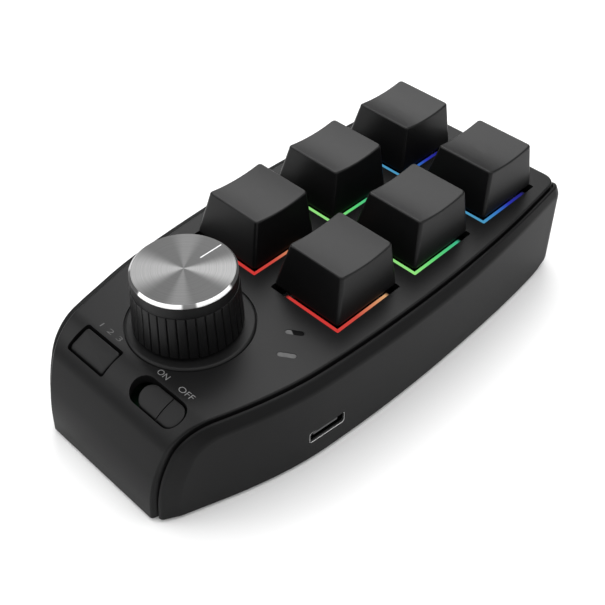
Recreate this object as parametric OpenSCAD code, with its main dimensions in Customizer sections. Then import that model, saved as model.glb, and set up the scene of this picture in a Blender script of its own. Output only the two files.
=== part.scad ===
// Macro keypad: six keys, a push knob, a layer button and a power slide switch.
// +X is the side with the charging port, +Y runs from the knob to the keys, +Z is up.
// The origin is on the desk, under the middle of the body.

/* [Body] */
// Length of the body over all
body_length = 122.8; // [121:0.2:132]
// Height of the body without its feet
body_height = 23.7; // [23.4:0.1:26]
// Half width of the top cover at its widest place
cover_half_width = 27.65; // [27.4:0.05:30]
// How far the widest place lies ahead of the middle
widest_ahead = 9; // [5:0.5:13]
// Radius of the long curve of each side
side_radius = 358; // [330:2:420]
// Half width of the top cover at the foot of the near end
near_half_width = 15.8; // [15.4:0.1:17.5]
// Widening of each side per millimetre, from the near end on
near_taper = 0.348; // [0.32:0.002:0.37]
// Softness of the bend between the taper and the side curve
taper_blend = 0.7; // [0.4:0.1:1.4]
// Radius of the cover's far corners
cover_corner_radius = 3.6; // [3:0.1:5]
// Thickness of the top cover
cover_wall = 2; // [1.6:0.1:2.2]
// Radius of the upper part of the near end's curve
near_radius = 10.4; // [9.5:0.1:11.5]
// Angle covered by that upper part
near_radius_angle = 63.7; // [58:0.1:68]
// Radius of the lower part of the near end's curve
near_lower_radius = 38; // [34:1:42]
// Slope of the near end at its foot
near_foot_angle = 87; // [84:1:88]
// Thickness of the bottom cover
floor_wall = 2; // [1.6:0.1:2.4]

/* [Side shells] */
// Width of the groove between the top cover and a shell
groove = 0.9; // [0.6:0.05:1.1]
// Width of a shell's flat rim
rim_width = 0.3; // [0.2:0.05:0.5]
// How far the rim lies below the top cover's surface
rim_drop = 0.4; // [0.2:0.05:0.8]
// How far the rim lies behind the near end's surface, at its foot
near_rim_drop = 1.1; // [0.6:0.1:1.4]
// How far the rim lies below the top cover's surface, at the shell's far end
far_rim_drop = 1.8; // [1:0.1:2]
// Distance of a shell's face from the cover's edge, at the bevel
face_offset = 2.7; // [2.4:0.05:3.2]
// The same distance at the foot of the shell
foot_offset = 1.9; // [1.8:0.05:2.6]
// Height of the bevel along the top
bevel_height = 2.2; // [1.6:0.1:3]
// Width of the bevel at the foot of the near end
near_bevel = 3.5; // [2.6:0.1:4]
// How far the shells reach round the far corners
wrap_angle = 66; // [50:1:80]
// Thickness of the ledges inside a shell
ledge_thickness = 1.6; // [1.2:0.1:1.8]

/* [Keys] */
// Distance between key centres
key_pitch = 24.4; // [24.2:0.1:25.2]
// Distance from the near end of the body to the centres of the first row
first_row = 55.85; // [55.4:0.05:57]
// Width of a keycap at its base
cap_base = 18.1; // [17.8:0.05:18.2]
// Width of a keycap's top
cap_top_width = 14.25; // [13.6:0.05:14.6]
// Depth of a keycap's top
cap_top_depth = 14.6; // [13.8:0.05:14.8]
// How far a keycap's top leans to the far side
cap_lean = 0.97; // [0.6:0.01:1.1]
// Height of a keycap
cap_height = 10.2; // [9.8:0.1:11.4]
// Height of a keycap above the cover's surface
cap_gap = 1.1; // [0.9:0.1:1.6]
// Thickness of a keycap's walls
cap_wall = 1.25; // [1:0.05:1.3]
// Thickness of a keycap's top
cap_roof = 1.6; // [1.4:0.1:2]
// Size of the rounded edge round a keycap's top
cap_edge = 0.6; // [0.4:0.1:0.9]
// Depth of the hollow on a keycap's top
dish_depth = 0.35; // [0.2:0.05:0.5]
// Travel of a key
key_travel = 4; // [3:0.1:4]
// Clearance between a keycap and the light guides beside it
cap_clearance = 0.15; // [0.12:0.01:0.2]
// Width of a light guide's lit edge
light_width = 0.55; // [0.5:0.01:0.6]
// Length of a light guide's front arm
light_front_arm = 15.1; // [12:0.1:16]
// Length of a light guide's side arm
light_side_arm = 16; // [12:0.1:16.5]

/* [Key switches] */
// Width of a switch below the plate
switch_body = 13.95; // [13.8:0.05:14.1]
// Width of a switch's flange on the plate
switch_flange = 15.6; // [15:0.1:16]
// Thickness of that flange
flange_thickness = 0.9; // [0.7:0.1:1.1]
// Width of a switch's upper housing
turret_width = 12; // [11.6:0.1:12.2]
// Height of a switch above the plate
turret_height = 6; // [5.6:0.1:6.2]
// Thickness of the switch plate
plate_thickness = 1.5; // [1.2:0.1:1.7]
// Height of the plate's top above the board
plate_above_board = 5; // [4.8:0.1:5.3]
// Depth of the plate's top below the cover's surface
plate_depth = 4.6; // [4.4:0.1:4.9]
// Diameter of a stem's neck and of the post in a keycap
neck_diameter = 5.4; // [5.2:0.1:5.6]
// Width of the cross on a stem
cross_width = 4; // [3.8:0.05:4.1]
// Thickness of the cross's arms
cross_thickness = 1.2; // [1.1:0.05:1.3]
// Height of the cross
cross_height = 3.6; // [3.2:0.1:4]
// Width of a stem's sliding block
slider_width = 8.6; // [8.2:0.1:8.8]
// Outer diameter of a switch spring
spring_diameter = 4.4; // [4:0.1:4.6]
// Thickness of the spring's coils
spring_wire = 0.6; // [0.4:0.05:0.8]

/* [Knob and encoder] */
// Place of the knob to the right of the middle
knob_x = -1.74; // [-3:0.02:1]
// Distance from the near end of the body to the knob's centre
knob_from_end = 27; // [26.6:0.1:27.6]
// Radius of the knob's metal cap
knob_top_radius = 10.2; // [10:0.05:10.4]
// Radius of the smooth band at its lower edge
knob_band_radius = 10.45; // [10.4:0.05:10.6]
// Radius of the fluted skirt at its upper edge
skirt_top_radius = 10.65; // [10.6:0.05:10.9]
// Radius of the fluted skirt at its foot
knob_foot_radius = 11.5; // [11.2:0.1:11.8]
// Height of the knob's top above the cover
knob_height = 14.85; // [14:0.05:17]
// Height of the smooth band
knob_band = 2.8; // [2.2:0.1:3.4]
// Number of flutes round the knob
flute_count = 36; // [24:1:40]
// Radius of a flute
flute_radius = 0.35; // [0.25:0.05:0.45]
// Thickness of the metal cap
knob_cap_thickness = 0.8; // [0.75:0.05:1.4]
// Size of the metal cap's bevel
knob_bevel = 0.65; // [0.4:0.05:0.7]
// Length of the pointer groove on the cap
pointer_length = 5.6; // [4:0.1:6.4]
// Width of the pointer groove
pointer_width = 0.6; // [0.4:0.05:0.9]
// Outer radius of the ring under the knob
ring_radius = 13.5; // [13:0.1:13.8]
// Height of the ring above the cover
ring_height = 0.4; // [0.3:0.05:0.5]
// Travel of the knob when it is pushed
knob_travel = 0.5; // [0.3:0.05:0.6]
// Diameter of the encoder's shaft
shaft_diameter = 6; // [5.8:0.1:6.1]
// Radial running clearance of the shaft
shaft_clearance = 0.05; // [0.04:0.01:0.08]
// Diameter of the encoder's threaded bush
bush_diameter = 7; // [6.9:0.1:7.2]
// Width of the encoder's body
encoder_width = 12.4; // [12:0.1:12.6]
// Depth of the encoder's body
encoder_depth = 11.8; // [11.4:0.1:12.2]
// Height of the encoder's body
encoder_height = 7; // [6.8:0.1:7.2]
// Width of the encoder's nut over its flats
nut_width = 10; // [9.6:0.1:10.4]
// Height of the nut
nut_height = 1.8; // [1.5:0.1:2]

/* [Near end controls] */
// Place of the layer button to the right of the middle
button_x = -10.1; // [-10.6:0.1:-9.6]
// Distance of the layer button's centre from the near end
button_from_end = 9.4; // [9.2:0.1:9.8]
// Width of the layer button
button_width = 10.75; // [10:0.05:11]
// Depth of the layer button, measured flat
button_depth = 5.2; // [4.8:0.1:5.4]
// Travel of the layer button
button_travel = 0.5; // [0.3:0.05:0.6]
// Gap round the layer button
button_gap = 0.3; // [0.2:0.05:0.4]
// Place of the slide switch to the right of the middle
slide_x = 9.7; // [9.4:0.1:10]
// Distance of the slide switch's centre from the near end
slide_from_end = 9.2; // [9:0.1:9.6]
// Length of the slide switch's opening
slide_opening = 12.9; // [12.4:0.1:13.2]
// Depth of that opening, measured flat
slide_depth = 4.9; // [4.6:0.1:5.1]
// Travel of the power slider
slide_travel = 1.9; // [1.4:0.1:2.2]
// Gap round the power slider
slide_gap = 0.25; // [0.2:0.05:0.3]
// How far the power slider lies below the cover's surface
slide_sink = 0.35; // [0.2:0.05:0.6]

/* [Boards, battery and port] */
// Thickness of the boards
board_thickness = 1.6; // [1.2:0.1:1.8]
// Half width of the main board
board_half_width = 22.6; // [22.4:0.1:23]
// Distance of the port's centre from the near end of the body
port_from_end = 36.3; // [35.8:0.1:37]
// Height of the port's centre above the foot of the body
port_above_foot = 8; // [7.6:0.1:8.6]
// Outer width of the port's metal shell
port_width = 8.94; // [8.9:0.02:9]
// Outer height of the port's metal shell
port_height = 3.2; // [3.1:0.02:3.26]
// Depth of the port's metal shell
port_depth = 7.4; // [7.2:0.1:7.6]
// Thickness of the port's metal shell
port_wall = 0.3; // [0.25:0.01:0.32]
// Width of the port's tongue
tongue_width = 6.7; // [6.6:0.02:6.8]
// Thickness of the port's tongue
tongue_thickness = 0.7; // [0.68:0.02:0.8]
// Width of the battery
battery_width = 34; // [28:0.5:36]
// Length of the battery
battery_length = 50; // [36:0.5:52]
// Thickness of the battery
battery_thickness = 6; // [4:0.1:7]

/* [Indicators] */
// Length of an indicator lens
lens_length = 4; // [3.6:0.1:4.4]
// Width of an indicator lens
lens_width = 1.3; // [1.1:0.05:1.5]
// Turn of each lens
lens_turn = 33; // [28:1:38]
// Turn of the line across which the pair is spaced
lens_pair_turn = 30; // [25:1:35]
// Distance between the two lenses
lens_spacing = 6.36; // [5.8:0.02:6.8]
// Place of the pair's middle to the right of the middle
lens_x = 17.3; // [17:0.1:17.6]
// Distance of the pair's middle from the near end of the body
lens_from_end = 37.35; // [37:0.05:37.8]

/* [Feet and screws] */
// Height of a rubber foot below the body
foot_height = 1; // [0.6:0.1:1.6]
// Diameter of a rubber foot
foot_diameter = 9; // [7:0.5:10]
// Depth of the recess that holds a foot
foot_recess = 0.5; // [0.3:0.1:0.8]
// Diameter of a case screw
screw_diameter = 2.2; // [2:0.1:2.4]
// Diameter of a case screw's head
screw_head_diameter = 4; // [3.8:0.1:4.2]
// Length of a case screw
screw_length = 8; // [6:0.5:10]
// Outer diameter of a screw boss
boss_diameter = 4.6; // [4.4:0.1:4.8]

/* [Hidden] */
$fn = 48;
fine = 120;         // Segments of the knob's round parts
overlap = 0.01;     // Overlap of solids that are joined
through = 1;        // How far a cut runs past what it cuts
fit = 0.1;          // Clearance of parts that sit in each other
loose = 0.3;        // Clearance of parts that only lie beside each other

// Main levels and ends
floor_z = foot_height;
floor_top = floor_z + floor_wall;
top_z = floor_z + body_height;
cover_under = top_z - cover_wall;
near_y = -body_length / 2;
far_y = body_length / 2 + cover_corner_radius
    - (cover_corner_radius + face_offset) * sin(wrap_angle);

// Levels inside
plate_top = top_z - plate_depth;
plate_under = plate_top - plate_thickness;
board_top = plate_top - plate_above_board;
board_under = board_top - board_thickness;
flange_top = plate_top + flange_thickness;
turret_top = plate_top + turret_height;
cap_z = top_z + cap_gap;

// Key places, numbered row by row from the near end
key_rows = [for (i = [0:2]) near_y + first_row + i * key_pitch];
key_places = [for (y = key_rows) for (x = [-key_pitch / 2, key_pitch / 2]) [x, y]];
opening_half = cap_base / 2 + cap_clearance;
guide_half = opening_half + light_width;

// Places of the other things
knob_y = near_y + knob_from_end;
button_y = near_y + button_from_end;
slide_y = near_y + slide_from_end;
lens_y = near_y + lens_from_end;
port_y = near_y + port_from_end;
port_z = floor_z + port_above_foot;
plate_side = 1.4;           // Plate beside the outer light guides
plate_margin = 1.2;         // Plate beyond the first and the last row
plate_half = key_pitch / 2 + guide_half + plate_side;
far_screw_gap = 0.1;        // Screw axes beyond the plate's sides
near_screw_inset = 0.3;
near_screw_from_end = 21.4;
near_foot_place = [11, 12.4];    // From the middle and from the near end
far_foot_place = [17, 9.3];      // From the middle and from the far end
screw_places = [
    for (side = [-1, 1]) [side * (plate_half + far_screw_gap), key_rows[1] + key_pitch / 2],
    for (side = [-1, 1]) [side * (near_half_width - near_screw_inset), near_y + near_screw_from_end]
];
foot_places = [
    for (side = [-1, 1]) [side * near_foot_place[0], near_y + near_foot_place[1]],
    for (side = [-1, 1]) [side * far_foot_place[0], far_y - far_foot_place[1]]
];

// Outline of the cover seen from above: the half width along Y, then the far corner
function side_arc(y) =
    cover_half_width - side_radius + sqrt(pow(side_radius, 2) - pow(y - widest_ahead, 2));
function taper_line(y) = near_half_width + near_taper * (y - near_y);
function blend_share(a, b) = max(taper_blend - abs(a - b), 0) / taper_blend;
function blended(a, b) = min(a, b) - pow(blend_share(a, b), 2) * taper_blend / 4;
function half_width(y) = blended(side_arc(y), taper_line(y));
corner_y = far_y - cover_corner_radius;
corner_x = half_width(corner_y) - cover_corner_radius;
bend_start = near_y + 20;
bend_end = near_y + 34;
bend_steps = 8;
side_steps = 9;
side_ys = concat(
    [near_y],
    [for (i = [0:bend_steps - 1]) bend_start + (bend_end - bend_start) * i / bend_steps],
    [for (i = [0:side_steps - 1]) bend_end + (corner_y - bend_end) * i / side_steps]
);
function side_point(y, out) = [half_width(y) + out, y];
function corner_point(a, out) =
    [corner_x + (cover_corner_radius + out) * cos(a), corner_y + (cover_corner_radius + out) * sin(a)];
function outline_side(out) = concat(
    [for (y = side_ys) side_point(y, out)],
    [for (a = [0:15:90]) corner_point(a, out)]
);
function mirrored_back(points) =
    [for (i = [len(points) - 1:-1:0]) [-points[i][0], points[i][1]]];
function outline(out) = concat(outline_side(out), mirrored_back(outline_side(out)));

// Curve of the near end seen from the side, at a distance inside the surface
near_foot_drop = body_height - near_radius * (1 - cos(near_radius_angle))
    - near_lower_radius * (cos(near_radius_angle) - cos(near_foot_angle));
near_foot_run = near_foot_drop / tan(near_foot_angle);
curve_y = near_y + near_radius * sin(near_radius_angle)
    + near_lower_radius * (sin(near_foot_angle) - sin(near_radius_angle)) + near_foot_run;
upper_centre = [curve_y, top_z - near_radius];
lower_centre = upper_centre
    + (near_lower_radius - near_radius) * [sin(near_radius_angle), -cos(near_radius_angle)];
function arc_point(centre, radius, a) = centre + radius * [-sin(a), cos(a)];
function foot_point(inset) =
    let (low = arc_point(lower_centre, near_lower_radius - inset, near_foot_angle))
    [low[0] - (low[1] - floor_z) / tan(near_foot_angle), floor_z];
lower_steps = 4;
upper_steps = 8;
near_angles = concat(
    [for (i = [0:lower_steps - 1])
        near_foot_angle + (near_radius_angle - near_foot_angle) * i / lower_steps],
    [for (i = [0:upper_steps]) near_radius_angle * (1 - i / upper_steps)]
);
function near_point(i, inset) =
    i == 0 ? foot_point(inset)
    : near_angles[i - 1] > near_radius_angle
        ? arc_point(lower_centre, near_lower_radius - inset, near_angles[i - 1])
        : arc_point(upper_centre, near_radius - inset, near_angles[i - 1]);
near_count = len(near_angles);
function near_curve(inset) = [for (i = [0:near_count]) near_point(i, inset)];

// Solid under the cover's surface, at a distance inside it
module profile_block(inset, far_inset) {
    points = concat(
        near_curve(inset),
        [[far_y - far_inset, top_z - inset], [far_y - far_inset, floor_z]]
    );
    rotate([90, 0, 90])
        translate([0, 0, -2 * cover_half_width])
            linear_extrude(height = 4 * cover_half_width)
                polygon(points);
}

module plan_block(out, low, high) {
    translate([0, 0, low])
        linear_extrude(height = high - low)
            polygon(outline(out));
}

module stadium(length, width) {
    square([length - width, width], center = true);
    for (side = [-1, 1])
        translate([side * (length - width) / 2, 0])
            circle(d = width);
}

module rounded_square(width, depth, r) {
    square([width - 2 * r, depth], center = true);
    square([width, depth - 2 * r], center = true);
    for (sx = [-1, 1])
        for (sy = [-1, 1])
            translate([sx * (width / 2 - r), sy * (depth / 2 - r)])
                circle(r = r);
}

// Upright block centred on an axis
module post_block(width, depth, low, high) {
    translate([-width / 2, -depth / 2, low])
        cube([width, depth, high - low]);
}

module at_keys() {
    for (place = key_places)
        translate([place[0], place[1], 0])
            children();
}

module at_screws() {
    for (place = screw_places)
        translate([place[0], place[1], 0])
            children();
}

// Two L-shaped edges at opposite corners of a key's opening
module guide_pair() {
    for (turn = [0, 180])
        rotate(turn) {
            translate([guide_half - light_front_arm, -guide_half])
                square([light_front_arm, light_width]);
            translate([opening_half, -guide_half])
                square([light_width, light_side_arm]);
        }
}

module lens_outline(shrink) {
    for (side = [-1, 1])
        translate([
            lens_x - side * sin(lens_pair_turn) * lens_spacing / 2,
            lens_y + side * cos(lens_pair_turn) * lens_spacing / 2
        ])
            rotate(lens_turn)
                stadium(lens_length - 2 * shrink, lens_width - 2 * shrink);
}

// Cover: the deck, the curved near end and the far wall, with bosses and ribs below
thread_bite = 0.4;          // Difference between a screw and the hole it cuts into
opening_corner = 0.8;       // Corner radius of the layer button's opening
module cover_skin() {
    difference() {
        profile_block(0, 0);
        translate([0, 0, -overlap])
            profile_block(cover_wall, cover_wall);
    }
}

module cover_ribs() {
    rib = 1.2;
    rib_length = 2 * key_pitch + 2 * guide_half;
    at_screws()
        translate([0, 0, floor_top])
            cylinder(d = boss_diameter, h = cover_under - floor_top + overlap);
    for (side = [-1, 1])
        translate([side * (plate_half - rib / 2), key_rows[1], 0])
            post_block(rib, rib_length, plate_top, cover_under + overlap);
}

module top_cover() {
    color("#3b3b3d")
        difference() {
            union() {
                intersection() {
                    plan_block(0, floor_z, top_z);
                    cover_skin();
                }
                cover_ribs();
            }
            at_keys()
                post_block(2 * guide_half, 2 * guide_half, cover_under - through, top_z + through);
            translate([knob_x, knob_y, top_z - ring_seat])
                cylinder(r = ring_radius + fit, h = ring_seat + through, $fn = fine);
            translate([knob_x, knob_y, cover_under - through])
                cylinder(d = bush_diameter + 2 * fit, h = cover_wall + 2 * through);
            translate([button_x, button_y, board_top])
                linear_extrude(height = top_z - board_top + through)
                    rounded_square(
                        button_width + 2 * button_gap, button_depth + 2 * button_gap, opening_corner
                    );
            translate([slide_x, slide_y, board_top])
                linear_extrude(height = top_z - board_top + through)
                    stadium(slide_opening, slide_depth);
            translate([0, 0, cover_under - through])
                linear_extrude(height = cover_wall + 2 * through)
                    lens_outline(0);
            at_screws()
                translate([0, 0, floor_top - through])
                    cylinder(d = screw_diameter - thread_bite, h = screw_length);
        }
}

// Side shell: sections swept along the near end's curve, the side and the far corner.
// Each section has its foot, the bevel's lower and upper edge, the rim and the inner foot.
function face_at(z) =
    foot_offset + (face_offset - foot_offset) * (z - floor_z)
        / (body_height - rim_drop - bevel_height);
function along_near(i, low, high) = low + (high - low) * max(i - 1, 0) / (near_count - 1);
function rim_inset(i) = along_near(i, near_rim_drop, rim_drop);
function crease_inset(i) = rim_inset(i) + along_near(i, near_bevel, bevel_height);
function near_section(i) =
    let (crease = near_point(i, crease_inset(i)))
    let (rim = near_point(i, rim_inset(i)))
    [
        concat(side_point(crease[0], foot_offset), floor_z),
        concat(side_point(crease[0], face_at(crease[1])), crease[1]),
        concat(side_point(rim[0], groove + rim_width), rim[1]),
        concat(side_point(rim[0], groove), rim[1]),
        concat(side_point(rim[0], groove), floor_z)
    ];
function level_section(at, drop) = [
    concat(at(foot_offset), floor_z),
    concat(at(face_offset), top_z - drop - bevel_height),
    concat(at(groove + rim_width), top_z - drop),
    concat(at(groove), top_z - drop),
    concat(at(groove), floor_z)
];
wrap_steps = 6;
function wrap_section(share) = level_section(
    function (out) corner_point(wrap_angle * share, out),
    rim_drop + (far_rim_drop - rim_drop) * pow(share, 2)
);
shell_sections = concat(
    [for (i = [1:near_count]) near_section(i)],
    [for (y = side_ys) if (y > curve_y + 1) level_section(function (out) side_point(y, out), rim_drop)],
    [for (i = [0:wrap_steps]) wrap_section(i / wrap_steps)]
);
foot_section = near_section(0);
shell_tip = [foot_section[0], foot_section[2], foot_section[3]];

module shell_wall() {
    count = len(shell_sections);
    tip = 5 * count;
    function at(i, k) = 5 * i + k % 5;
    quads = [
        for (i = [0:count - 2])
            for (k = [0:4])
                [at(i, k), at(i, k + 1), at(i + 1, k + 1), at(i + 1, k)]
    ];
    triangles = [for (q = quads) for (t = [[q[0], q[1], q[2]], [q[0], q[2], q[3]]]) t];
    far_end = [for (k = [1:3]) [at(count - 1, 0), at(count - 1, k), at(count - 1, k + 1)]];
    near_tip = [
        [tip, 1, 0],
        [tip, tip + 1, 2], [tip, 2, 1],
        [tip + 1, tip + 2, 3], [tip + 1, 3, 2],
        [tip + 2, 4, 3],
        [tip + 2, tip, 0], [tip + 2, 0, 4],
        [tip + 2, tip + 1, tip]
    ];
    polyhedron(
        points = concat([for (s = shell_sections) for (p = s) p], shell_tip),
        faces = concat(triangles, far_end, near_tip),
        convexity = 6
    );
}

// Ledge that closes the groove from below, along the deck and the near end
ledge_drop = cover_wall + 0.2;
ledge_reach = 1.4;
wall_grip = groove + 0.5;
module upper_ledge() {
    intersection() {
        difference() {
            plan_block(wall_grip, floor_z, top_z);
            plan_block(-ledge_reach, floor_z - through, top_z + through);
        }
        difference() {
            profile_block(ledge_drop, cover_wall + loose);
            translate([0, 0, -overlap])
                profile_block(ledge_drop + ledge_thickness, -through);
        }
        translate([0, -body_length, 0])
            cube([2 * cover_half_width, 2 * body_length, 2 * top_z]);
    }
}

// Ledge that meets the edge of the bottom cover
lower_reach = 0.4;
module lower_ledge() {
    intersection() {
        difference() {
            plan_block(wall_grip, floor_z, floor_z + ledge_thickness);
            plan_block(-lower_reach, floor_z - through, top_z);
        }
        profile_block(ledge_drop, cover_wall + loose);
        translate([0, -body_length, 0])
            cube([2 * cover_half_width, 2 * body_length, top_z]);
    }
}

module shell_solid() {
    shell_wall();
    upper_ledge();
    lower_ledge();
}

// Frame of the port: local X along the side, local Y up, local Z outwards
port_sink = 0.1;
port_slope = (half_width(port_y + 1) - half_width(port_y - 1)) / 2;
port_x = half_width(port_y) + face_at(port_z) - port_sink;
module port_place() {
    translate([port_x, port_y, port_z])
        rotate([0, 0, -atan(port_slope)])
            rotate([90, 0, 90])
                children();
}

module side_shell_right() {
    color("#2a2a2c")
        difference() {
            shell_solid();
            port_place()
                translate([0, 0, -3])
                    linear_extrude(height = 6)
                        stadium(port_width + 2 * fit, port_height + 2 * fit);
        }
}

module side_shell_left() {
    color("#2a2a2c")
        mirror([1, 0, 0])
            shell_solid();
}

usb_board_top = port_z - port_height / 2;
usb_board_under = usb_board_top - board_thickness;
usb_board_size = [14, 10];
usb_board_setback = 2;      // Edge of the port's board behind the port's opening
post_setback = 9;           // Posts under that board, behind the port's opening
post_spacing = 9;
post_diameter = 3;
screw_head_height = 1.2;
module bottom_cover() {
    color("#202022")
        difference() {
            union() {
                intersection() {
                    plan_block(-lower_reach - loose, floor_z, floor_top);
                    profile_block(cover_wall + loose, cover_wall + loose);
                }
                for (side = [-1, 1])
                    translate([port_x - post_setback, port_y + side * post_spacing / 2, floor_top - overlap])
                        cylinder(d = post_diameter, h = usb_board_under - floor_top + overlap);
            }
            at_screws() {
                translate([0, 0, floor_z - through])
                    cylinder(d = screw_diameter + 2 * fit, h = floor_wall + 2 * through);
                translate([0, 0, floor_z - through])
                    cylinder(d = screw_head_diameter + 2 * fit, h = through + screw_head_height + fit);
            }
            for (place = foot_places)
                translate([place[0], place[1], floor_z - through])
                    cylinder(d = foot_diameter + 2 * fit, h = through + foot_recess);
        }
}

module case_screws() {
    drive_width = 1.6;
    drive_depth = 0.8;
    color("#8c8c90")
        at_screws()
            translate([0, 0, floor_z + fit])
                difference() {
                    union() {
                        cylinder(d = screw_head_diameter, h = screw_head_height);
                        cylinder(d = screw_diameter, h = floor_wall - fit);
                        cylinder(d = screw_diameter - thread_bite, h = screw_length);
                    }
                    translate([0, 0, -through])
                        cylinder(d = drive_width, h = through + drive_depth, $fn = 6);
                }
}

module rubber_feet() {
    color("#1b1b1b")
        for (place = foot_places)
            translate([place[0], place[1], 0])
                cylinder(d = foot_diameter, h = foot_height + foot_recess);
}

module switch_plate() {
    depth = 2 * key_pitch + 2 * guide_half + 2 * plate_margin;
    hole = switch_body + 2 * fit;
    color("#b9bcc0")
        difference() {
            translate([0, key_rows[1], 0])
                post_block(2 * plate_half, depth, plate_under, plate_top);
            at_keys()
                post_block(hole, hole, plate_under - through, plate_top + through);
            at_screws()
                cylinder(d = boss_diameter + 2 * fit, h = top_z);
        }
}

// Main board with the lamps, the controller and the coil that are soldered to it
lamp_height = 1.1;
lamp_size = [3.2, 1.6];
chip_place = [-12, 27];     // From the middle and from the near end, like the coil's
chip_size = [7, 7, 0.9];
coil_place = [3, 36];
coil_size = [6, 5, 2.4];
board_near_inset = 1.6;     // Board inside the cover's width, at the near end
board_near_gap = 5.1;
board_far_gap = 4;
board_bend = 29.6;          // Distance of the board's widening from the near end
module main_board() {
    edge = [
        [near_half_width - board_near_inset, near_y + board_near_gap],
        [board_half_width, near_y + board_bend],
        [board_half_width, far_y - board_far_gap]
    ];
    color("#1f6b3a")
        difference() {
            union() {
                translate([0, 0, board_under])
                    linear_extrude(height = board_thickness)
                        polygon(concat(edge, mirrored_back(edge)));
                at_keys()
                    translate([0, -(switch_body / 2 + guide_half) / 2, 0])
                        post_block(lamp_size[0], lamp_size[1], board_top - overlap, board_top + lamp_height);
                translate([0, 0, board_top - overlap])
                    linear_extrude(height = lamp_height + overlap)
                        lens_outline(0);
                translate([chip_place[0], near_y + chip_place[1], 0])
                    post_block(chip_size[0], chip_size[1], board_under - chip_size[2], board_under + overlap);
                translate([coil_place[0], near_y + coil_place[1], 0])
                    post_block(coil_size[0], coil_size[1], board_under - coil_size[2], board_under + overlap);
            }
            at_screws()
                cylinder(d = boss_diameter + 2 * fit, h = top_z);
        }
}

module usb_board() {
    color("#1f6b3a")
        port_place()
            translate([
                -usb_board_size[0] / 2,
                -port_height / 2 - board_thickness,
                -usb_board_setback - usb_board_size[1]
            ])
                cube([usb_board_size[0], board_thickness, usb_board_size[1]]);
}

module battery() {
    battery_shift = 3;      // Battery nearer to the near end than the keys' middle row
    color("#c9ccd1")
        translate([0, key_rows[1] - battery_shift, 0])
            post_block(battery_width, battery_length, floor_top, floor_top + battery_thickness);
}

// Keycap: a leaning taper with a rounded top edge, a shallow dish and a post with a cross
cap_corner = 0.6;           // Radius of a keycap's upright corners
hollow_corner = 0.4;
shoulder_out = 0.5;         // Widening of the cap below its rounded edge
module cap_slice(width, depth, lean, z, r) {
    translate([0, lean, z])
        linear_extrude(height = overlap)
            rounded_square(width, depth, r, $fn = 24);
}

module cap_outer() {
    shoulder_width = cap_top_width + shoulder_out;
    shoulder_depth = cap_top_depth + shoulder_out;
    edge_width = cap_top_width - cap_edge;
    edge_depth = cap_top_depth - cap_edge;
    hull() {
        cap_slice(cap_base, cap_base, 0, 0, cap_corner);
        cap_slice(shoulder_width, shoulder_depth, cap_lean, cap_height - cap_edge, cap_corner);
    }
    hull() {
        cap_slice(shoulder_width, shoulder_depth, cap_lean, cap_height - cap_edge, cap_corner);
        cap_slice(edge_width, edge_depth, cap_lean, cap_height - overlap, cap_corner);
    }
}

module cap_hollow() {
    foot_width = cap_base - 2 * cap_wall;
    roof_width = cap_top_width - 2 * cap_wall;
    roof_depth = cap_top_depth - 2 * cap_wall;
    hull() {
        cap_slice(foot_width, foot_width, 0, -overlap, hollow_corner);
        cap_slice(roof_width, roof_depth, cap_lean, cap_height - cap_roof, hollow_corner);
    }
}

module cross(grow, height) {
    post_block(cross_width + 2 * grow, cross_thickness + 2 * grow, 0, height);
    post_block(cross_thickness + 2 * grow, cross_width + 2 * grow, 0, height);
}

// The dish runs across the body: part of a cylinder, dish_depth deep over the depth of the top
dish_half = (cap_top_depth - cap_edge) / 2;
dish_radius = (pow(dish_half, 2) + pow(dish_depth, 2)) / (2 * dish_depth);
neck_top = turret_top + 1;
cross_fit = 0.02;
module keycap(place) {
    post_low = neck_top - cap_z;
    color("#3c3c3e")
        translate([place[0], place[1], cap_z])
            difference() {
                union() {
                    difference() {
                        cap_outer();
                        cap_hollow();
                    }
                    translate([0, 0, post_low])
                        cylinder(d = neck_diameter, h = cap_height - cap_roof + overlap - post_low);
                }
                translate([0, cap_lean, cap_height + dish_radius - dish_depth])
                    rotate([0, 90, 0])
                        cylinder(r = dish_radius, h = 2 * cap_base, center = true, $fn = 180);
                translate([0, 0, post_low - through])
                    cross(cross_fit, cross_height + through + fit);
            }
}

housing_roof = 0.8;
base_floor = 1.2;
spring_seat = 0.9;
stop_room = 1.7;            // Room left under the block of a stem that is pressed down
cavity_floor = board_top + base_floor;
slider_top = turret_top - housing_roof - loose;
slider_height = slider_top - cavity_floor - key_travel - stop_room;
spring_top = slider_top - spring_seat;
housing_room = slider_width + 2 * loose;
module switch_stem(place) {
    color("#a33030")
        translate([place[0], place[1], 0])
            difference() {
                union() {
                    post_block(slider_width, slider_width, slider_top - slider_height, slider_top);
                    translate([0, 0, slider_top - overlap])
                        cylinder(d = neck_diameter, h = neck_top - slider_top + overlap);
                    translate([0, 0, neck_top - overlap])
                        cross(0, cross_height + overlap);
                }
                translate([0, 0, slider_top - slider_height - through])
                    cylinder(d = spring_diameter + 4 * fit, h = slider_height + through - spring_seat);
            }
}

module switch_spring(place) {
    color("#c8c8cc")
        translate([place[0], place[1], cavity_floor])
            difference() {
                cylinder(d = spring_diameter, h = spring_top - cavity_floor);
                translate([0, 0, -through])
                    cylinder(d = spring_diameter - 2 * spring_wire, h = spring_top);
            }
}

module switch_top(place) {
    color("#4a4a4c")
        translate([place[0], place[1], 0])
            difference() {
                post_block(turret_width, turret_width, flange_top, turret_top);
                post_block(housing_room, housing_room, flange_top - through, turret_top - housing_roof);
                cylinder(d = neck_diameter + 1, h = turret_top + through);
            }
}

module switch_base(place) {
    color("#303032")
        translate([place[0], place[1], 0])
            difference() {
                union() {
                    post_block(switch_body, switch_body, board_top, plate_top + overlap);
                    post_block(switch_flange, switch_flange, plate_top, flange_top);
                }
                post_block(housing_room, housing_room, cavity_floor, flange_top + through);
            }
}

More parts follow.
